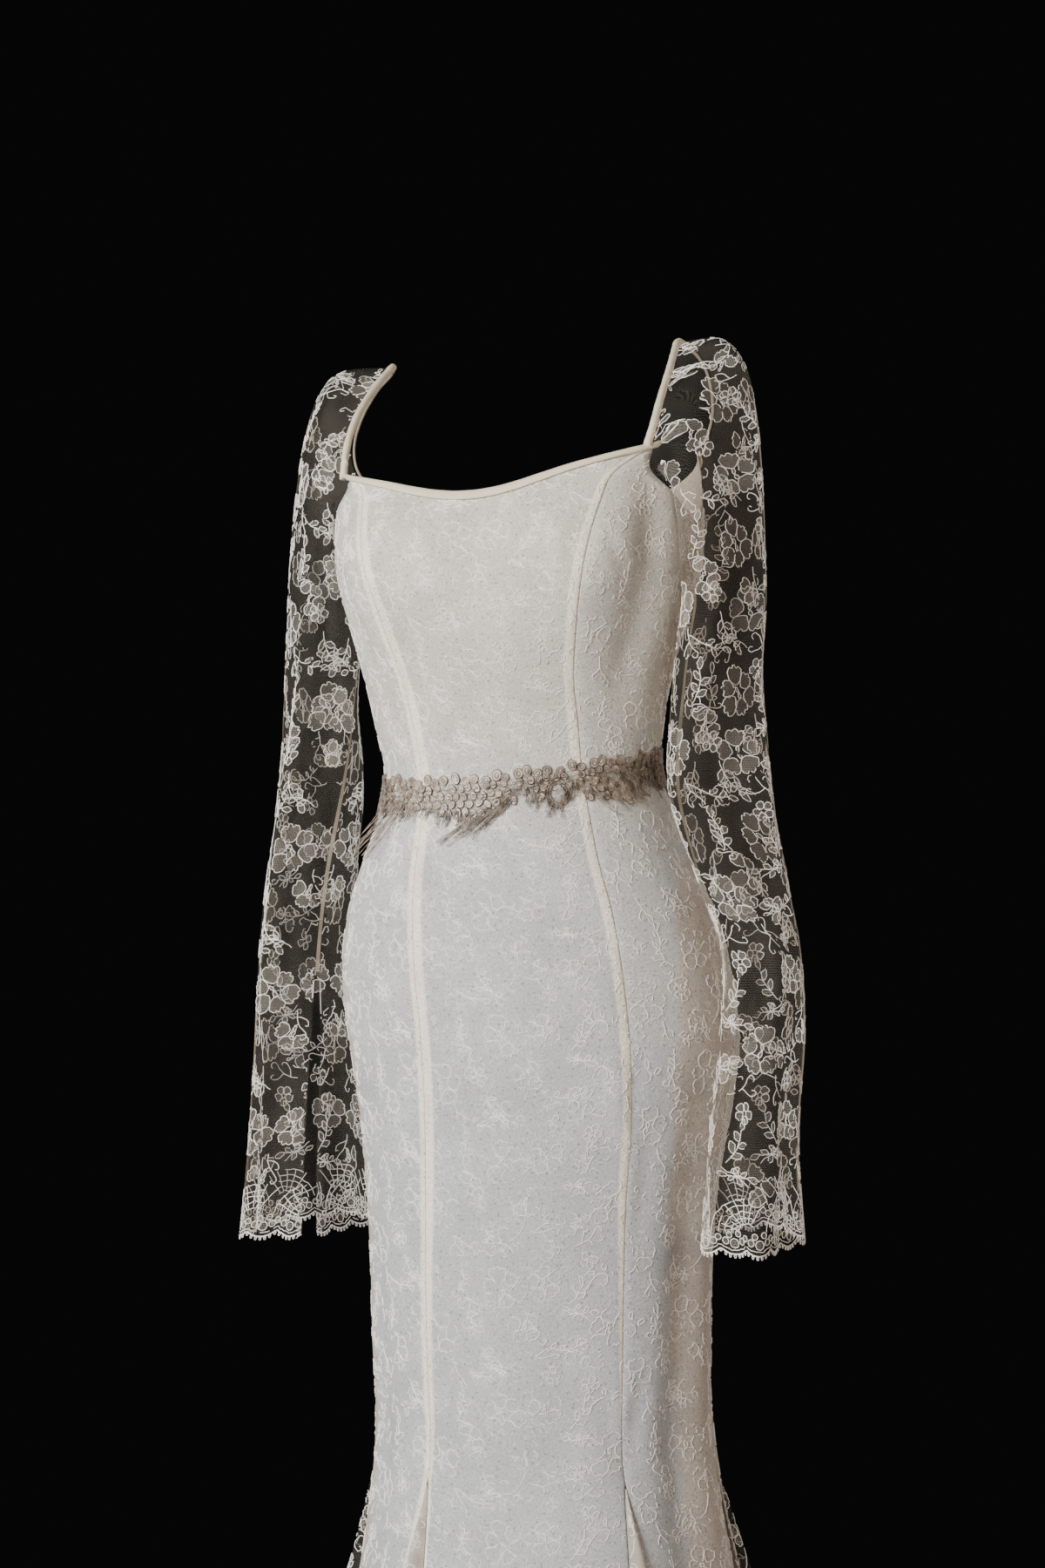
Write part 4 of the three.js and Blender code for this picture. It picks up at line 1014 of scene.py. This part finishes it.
def sleeve_cut(side):
    """A sleeve from edge to edge of its seam: its head grows from the strap and the armhole."""
    word = "left" if side > 0 else "right"
    curve = strap_curve(side)
    strap = [(curve(0.03 + 0.95 * s) + (side * (STRAP_RADIUS - 0.4), 0, 0),
              FRONT_TURN - (FRONT_TURN + BACK_TURN) * s) for s in np.linspace(0, 1, 37)]
    shares = np.linspace(0, 0.98, 17)[1:]
    edges = {}
    for place, sign, corner_turn in (("back", -1, BACK_TURN), ("front", 1, FRONT_TURN)):
        panel = f"side_{place}_{word}"
        edges[place] = []
        for share in shares:
            own = share if (place == "back") == (side < 0) else 1 - share
            z = PANELS[panel][2](own)
            point = body_out(panel_angle(panel, own, z), z, 0.7) + (0, 0, 0.5)
            edges[place].append((point, sign * (corner_turn + (180 - corner_turn) * share)))
    loop = edges["front"][::-1] + strap + edges["back"]
    if side < 0:
        loop = loop[::-1]
    start = np.array([point for point, turn in loop])
    turns = np.array([turn for point, turn in loop])
    levels = np.concatenate([np.linspace(SLEEVE_TOP, SLIT_TOP, 43),
                             np.linspace(SLIT_TOP, CUFF, SLIT_ROWS)[1:], [CUFF - 7]])
    down = clear_of_body(sleeve_point(side, turns[None, :], levels[:, None]))
    t = np.linspace(0, math.pi / 2, HEAD_ROWS + 1)[:-1, None]
    outward, downward = np.sin(t)**0.5, (1 - np.cos(t))**1.3
    end = down[0]
    head = np.stack([start[:, 0] + (end[:, 0] - start[:, 0]) * outward,
                     start[:, 1] + (end[:, 1] - start[:, 1]) * (outward + downward) / 2,
                     start[:, 2] + (end[:, 2] - start[:, 2]) * downward], axis=-1)
    head[1:] = clear_of_body(head[1:])
    points = np.concatenate([head, down])
    return cut_piece(points, len(turns) // 2, HEAD_ROWS, 1)


def lay_flat(cut, head_rows):
    """Finds the flat cut of a sleeve: below its head it is a plain strip, and the head's rows are moved
    about on the flat until each edge of the grid has its true length."""
    columns = cut["points"].shape[1]
    cut["down"] = np.repeat(cut["down"][:, [columns // 2]], columns, axis=1)
    flat = np.stack([cut["across"], cut["down"]], axis=-1)[:head_rows + 3]
    flat[:head_rows, :, 0] = flat[head_rows, :, 0]
    shape = cut["points"][:head_rows + 3]
    upper, lower, left, right = np.s_[:-1], np.s_[1:], np.s_[:-1], np.s_[1:]
    pairs = [(np.s_[:, left], np.s_[:, right]), (np.s_[upper, :], np.s_[lower, :]),
             (np.s_[upper, left], np.s_[lower, right]), (np.s_[upper, right], np.s_[lower, left])]
    lengths = [np.linalg.norm(shape[b] - shape[a], axis=-1, keepdims=True) for a, b in pairs]
    for step in range(1500):
        push = np.zeros_like(flat)
        for (a, b), length in zip(pairs, lengths):
            gap = flat[b] - flat[a]
            move = gap * (0.14 * (1 - length / np.maximum(np.linalg.norm(gap, axis=-1, keepdims=True), 1e-6)))
            push[a] += move
            push[b] -= move
        flat[:head_rows] += push[:head_rows]
    cut["across"][:head_rows] = flat[:head_rows, :, 0]
    cut["down"][:head_rows] = flat[:head_rows, :, 1]
    return cut


def edge_line(cut, column, inset, start):
    """A line of the flat pattern that follows one side of a piece from a row down."""
    rows = np.arange(start, cut["rows"], 2)
    return np.stack([cut["across"][rows, column] + inset, cut["down"][rows, column]], axis=1)


SCALLOP = 27
SCALLOP_DEPTH = 5.5
PICOT = 4.2
BORDER_HEIGHT = 48
FAN_ASIDE, FAN_UP, FAN_SQUASH = 16, 18, 0.82


def cuff_edge(cut):
    """The scalloped edge of a cuff: where it lies down the flat cut for a place across it."""
    foot = cut["down"][cut["rows"] - 1].mean()
    return lambda across: (foot - SCALLOP_DEPTH
                           + SCALLOP_DEPTH * np.abs(np.sin(np.pi * np.asarray(across) / SCALLOP)) ** 0.8)


def oval(x, y, wide, high, lean=0.0, steps=12):
    """One ring of cord on a flat cut."""
    turn = np.linspace(0, 2 * np.pi, steps + 1)
    a, b = wide / 2 * np.cos(turn), high / 2 * np.sin(turn)
    return np.stack([x + a * math.cos(lean) - b * math.sin(lean),
                     y + a * math.sin(lean) + b * math.cos(lean)], axis=1)


def cuff_lace(cut):
    """The border above a cuff's edge: corded ribs curved like ferns over rows of small rings, and
    tiny picot loops past the edge."""
    edge = cuff_edge(cut)
    low, high = cut["across"][cut["rows"] - 1, [0, -1]]
    across = np.arange(low, high, 2.2)
    random = np.random.default_rng(7)
    heavy = [np.stack([across, edge(across) - 0.8], axis=1)]
    fine, rings = [np.stack([across, edge(across) - 4.2], axis=1)], []
    for x in np.arange(low, high, PICOT):
        rings.append(oval(x, edge(x) + 1.1, 1.8, 3, steps=6))
    for k in range(math.floor(low / SCALLOP) - 1, math.ceil(high / SCALLOP) + 1):
        middle = (k + 0.5) * SCALLOP
        for x, y, size in ((0, -10, 4), (-8, -12, 3), (8, -12, 3), (-4, -17, 2.6), (4.5, -18, 2.6),
                           (12.5, -15, 2.6)):
            rings.append(oval(middle + x, edge(middle) + y, 2 * size, 2 * size, steps=8))
        if k % 2:
            continue
        spokes = np.array([12, 20, 28, 36])
        fans = [(11 + 6.2 * j, np.linspace(math.pi * 1.02, math.pi * (1.7 - 0.05 * j), 12)) for j in range(5)]
        fans += [(spokes, math.pi * (1.08 + 0.09 * j) + 0.004 * spokes) for j in range(7)]
        for reach, turn in fans:
            fine.append(np.stack([middle + FAN_ASIDE + reach * np.cos(turn),
                                  edge(middle) - FAN_UP + reach * FAN_SQUASH * np.sin(turn)], axis=1))
    return heavy, [line + random.normal(0, 0.45, line.shape) for line in fine], rings


for side, word in ((1, "left"), (-1, "right")):
    cut = lay_flat(sleeve_cut(side), HEAD_ROWS)
    edge = cuff_edge(cut)
    last = cut["rows"] - 1
    share = np.clip(1 - (cut["down"][last, 0] - edge(cut["across"][last])) / 7.6, 0.1, 1)
    scalloped = {**cut, "points": cut["points"].copy()}
    last_step = cut["points"][last] - cut["points"][last - 1]
    scalloped["points"][last] = cut["points"][last - 1] + last_step * share[:, None]
    sleeve = cloth(f"sleeve_{word}_net", scalloped, sheer_net)
    seen_across = (cut["points"][:last + 1, :, 0] * math.cos(FOLD_TURN)
                   + cut["points"][:last + 1, :, 1] * math.sin(FOLD_TURN))
    folds = np.zeros(seen_across.shape)
    for line in (seen_across.argmax(axis=1), seen_across.argmin(axis=1)):
        folds[np.arange(HEAD_ROWS // 2, last + 1), line[HEAD_ROWS // 2:]] = 1
    set_values(sleeve, "fold", folds)
    shapes, lines = lace_over(cut, 2, 10 * side, -12, stray=0.3, grown=1.18, left_out=("scroll",))
    border = cut["down"][last, 0] - BORDER_HEIGHT
    shapes = [line for line in shapes if line[:, 1].mean() < border]
    lines = [line for line in lines if line[:, 1].mean() < border]
    heavy, fine, rings = cuff_lace(cut)
    fills = lace_fills(f"sleeve_{word}_clothwork", cut, shapes + rings, clothwork)
    lace = cord_work(f"sleeve_{word}_lace", cut, shapes + lines + fine, 0.72, 0.45, cord, sunk=0.85)
    slit_row = cut["rows"] - SLIT_ROWS
    edges = [edge_line(cut, 0, 0.9, slit_row), edge_line(cut, -1, -0.9, slit_row)]
    cuff = cord_work(f"sleeve_{word}_cuff", cut, heavy + edges, 1.25, 0.55, cord, spare=True)
    picots = cord_work(f"sleeve_{word}_picots", cut, rings, 0.8, 0.45, cord, spare=True)
    front, back = cut["points"][:slit_row, -1], cut["points"][:slit_row, 0]
    seam = cloth(f"sleeve_{word}_seam", cut_piece(np.stack([front, (front + back) / 2, back], axis=1), 1, 0),
                 rolled_net)
    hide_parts(f"sleeve_{word}")
    width, length, area = flat_size(cut)

# The waist trim: a bought lace of taupe silky cord, small padded ovals in rows that hang in swags,
# with an open ring between two swags and loose thread ends below. It lies on the body, sewn on along
# its top. Its foot is given as how far it hangs down at some angles round the waist.
TRIM_TOP = -386
TRIM_SLANT = 0.06
TRIM_SAG = 10
TRIM_HALF = 131
TOP_OVALS_APART = 9.6
OVALS_APART = 7.8
OVAL_ROWS_APART = 7.4
THREAD_COUNT = 320
STRAND_COUNT = 16
RING_DOWN = 18
TRIM_FOOT = np.array([
    (-90, 21), (-60, 22), (-45, 25), (-30, 29), (-15, 36), (-8, 35), (0, 29), (8, 22), (15, 15), (22, 25),
    (30, 34), (37, 19), (42, 19), (45, 31), (49, 24), (56, 34), (63, 39), (67, 25), (84, 29), (105, 40),
    (125, 46), (138, 18), (150, 34), (162, 18), (180, 36), (200, 46), (215, 40), (230, 18), (240, 34),
    (252, 18), (270, 21)], float)
RINGS_AT = {"front": 30, "back": 150}

# Rayon cord and the satin pads inside its loops: both glossy, and each reads two shades of one taupe
# from a noise of a few millimetres: partly the silk's own patchy tone, partly painted sheen and shade
# where the threads turn to and from the light.
silks = []
for name, settings, patch, detail, dark, pale in (
        ("taupe silky cord", {"Roughness": 0.4, "Sheen Weight": 0.2}, 0.006, 3,
         (0.36, "3a2e25"), (0.68, "a69686")),
        ("taupe satin padding", {"Roughness": 0.35}, 0.007, 2, (0.35, "897a6d"), (0.65, "dcd2c8"))):
    silk, shader = new_material(name, settings)
    place = add_node(silk, "TexCoord", {}, out="Object")
    patchy = add_node(silk, "TexNoise", {"Scale": 1 / patch, "Detail": detail}, {"Vector": place})
    # Dark to pale: the taupe's own patches, with painted sheen and shade of the turning threads.
    taupe_and_painted_sheen = add_node(silk, "ValToRGB", {}, {"Fac": patchy})
    for stop, (share, colour) in zip(taupe_and_painted_sheen.node.color_ramp.elements, (dark, pale)):
        stop.position = share
        stop.color = linear(colour)
    feed(shader, {"Base Color": taupe_and_painted_sheen})
    silks.append(silk)
taupe_cord, padding = silks
taupe_net = new_net("taupe lace ground", "7a6656", 0.04, 0.36)


def trim_cut(start):
    """The body's surface along half of the trim, from above its top to below its threads."""
    angles = np.radians(np.linspace(start, start + 180, 121))
    down = np.arange(-16, 110, 4.0)[:, None]
    top = TRIM_TOP + TRIM_SLANT * TRIM_HALF * np.sin(angles) - TRIM_SAG * np.maximum(np.cos(angles), 0)
    heights = top - down
    cut = cut_piece(body_out(np.broadcast_to(angles, heights.shape), heights, 0.7), 60, 4)
    cut["down"] = np.broadcast_to(down, heights.shape).copy()
    cut["across"] = np.repeat(cut["across"][4:5], len(heights), axis=0)
    cut["degrees"] = np.degrees(angles)
    return cut


for start, place in ((-90, "front"), (90, "back")):
    cut = trim_cut(start)
    across_top = cut["across"][4]
    foot_at = np.interp(cut["degrees"], TRIM_FOOT[:, 0], TRIM_FOOT[:, 1])
    ring_x = float(np.interp(RINGS_AT[place], cut["degrees"], across_top))
    random = np.random.default_rng(200 + start)
    low, high = across_top[0] + 3, across_top[-1] - 3
    ovals, inner, threads, strands = [], [], [], []
    for i, x in enumerate(np.arange(low, high, TOP_OVALS_APART)):
        tall = (9.2, 3.4, 5.6, 2.4, 8.4, 3.0, 6.6)[i % 7]
        where = (x + random.uniform(-2.2, 2.2), -0.5 * tall)
        lean = random.uniform(-0.4, 0.4)
        ovals.append(oval(*where, random.uniform(6.8, 8.2), 4.6 + 0.62 * tall, lean))
        inner.append(oval(*where, 3.6, 2.2 + 0.4 * tall, lean, 8))
    for row, y in enumerate(np.arange(4.0, 50, OVAL_ROWS_APART)):
        for x in np.arange(low + OVALS_APART / 2 * (row % 2), high, OVALS_APART):
            foot = float(np.interp(x, across_top, foot_at))
            in_ring = ((x - ring_x) / 11) ** 2 + ((y - RING_DOWN) / 9) ** 2 < 1
            if y + 1.5 < foot and not in_ring and random.uniform() < 0.9:
                where = (x + random.uniform(-1.3, 1.3), y + random.uniform(-1.3, 1.3))
                lean = random.uniform(-0.7, 0.7)
                ovals.append(oval(*where, random.uniform(4.6, 6.2), random.uniform(6.4, 8.4), lean))
                inner.append(oval(*where, 2.2, 3.4, lean, 7))
    ring = [oval(ring_x, RING_DOWN, wide, high) for wide, high in ((13, 16), (17.5, 20.5), (22, 25))]
    x = np.arange(low, high, 2.4)
    ties = [np.stack([x, y + random.uniform(-1.6, 1.6, len(x))], axis=1) for y in (5.0, 10.0, 15.0)]
    for x in np.sort(random.uniform(low, high, THREAD_COUNT)):
        degrees = float(np.interp(x, across_top, cut["degrees"]))
        foot = float(np.interp(x, across_top, foot_at))
        at = degrees if place == "front" else (degrees - 90) % 60 + 10
        if -15 < at < 14:
            lean, length, y = -1.25, random.uniform(8, 26), foot - random.uniform(2, 12)
        elif 44 < at < 66:
            lean, length, y = 0.75, random.uniform(10, 26), random.uniform(3, foot - 9)
        elif at >= 66:
            lean, length, y = 0.1, random.uniform(7, 16), random.uniform(4, foot - 5)
        else:
            lean, length, y = -0.35, random.uniform(5, 13), foot - random.uniform(3, 9)
        lean += random.normal(0, 0.22)
        bow = random.uniform(-2, 2)
        s = np.linspace(0, 1, 6)
        threads.append(np.stack([x + lean * length * s + bow * np.sin(np.pi * s), y + length * s], axis=1))
    lift = []
    for k in range(STRAND_COUNT if place == "front" else 0):
        s = np.linspace(0, 1, 9)
        x = float(np.interp(-66 + k, cut["degrees"], across_top))
        length = random.uniform(32, 58)
        away = random.uniform(0.45, 0.75)
        strands.append(np.stack([x - away * length * s + random.uniform(-2, 2) * np.sin(np.pi * s),
                                 16 + length * s + random.uniform(-3, 3)], axis=1))
        lift.append(1.5 + random.uniform(7, 13) * s)
    depth = np.linspace(0, 1, 14)[:, None] * (foot_at - 2 + random.uniform(-2.5, 2.5, len(foot_at)))[None, :]
    flat = np.stack([np.broadcast_to(across_top, depth.shape), depth], axis=-1)
    inside = flat.reshape(-1, 2) * (0.99995, 1) + (0, 0.01)
    ground_cut = cut_piece(on_cloth(cut, inside, 0.1).reshape(*depth.shape, 3), 60, 0)
    ground = cloth(f"waist_trim_{place}_ground", ground_cut, taupe_net)
    pieces = [lace_fills(f"waist_trim_{place}_padding", cut, ovals, padding, 0.7),
              cord_work(f"waist_trim_{place}_rings", cut, ovals + inner + ring, 1.15, 1.5, taupe_cord, 0),
              cord_work(f"waist_trim_{place}_threads", cut, threads + ties, 0.6, 1.9, taupe_cord, 1.1)]
    if strands:
        pieces.append(cord_work(f"waist_trim_{place}_strands", cut, strands, 0.7, 0.4, taupe_cord,
                                -0.2, lift=np.concatenate(lift)))
    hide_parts(f"waist_trim_{place}")
    width, length, area = flat_size(ground_cut)
    area = min(area, 0.98 * width * length)
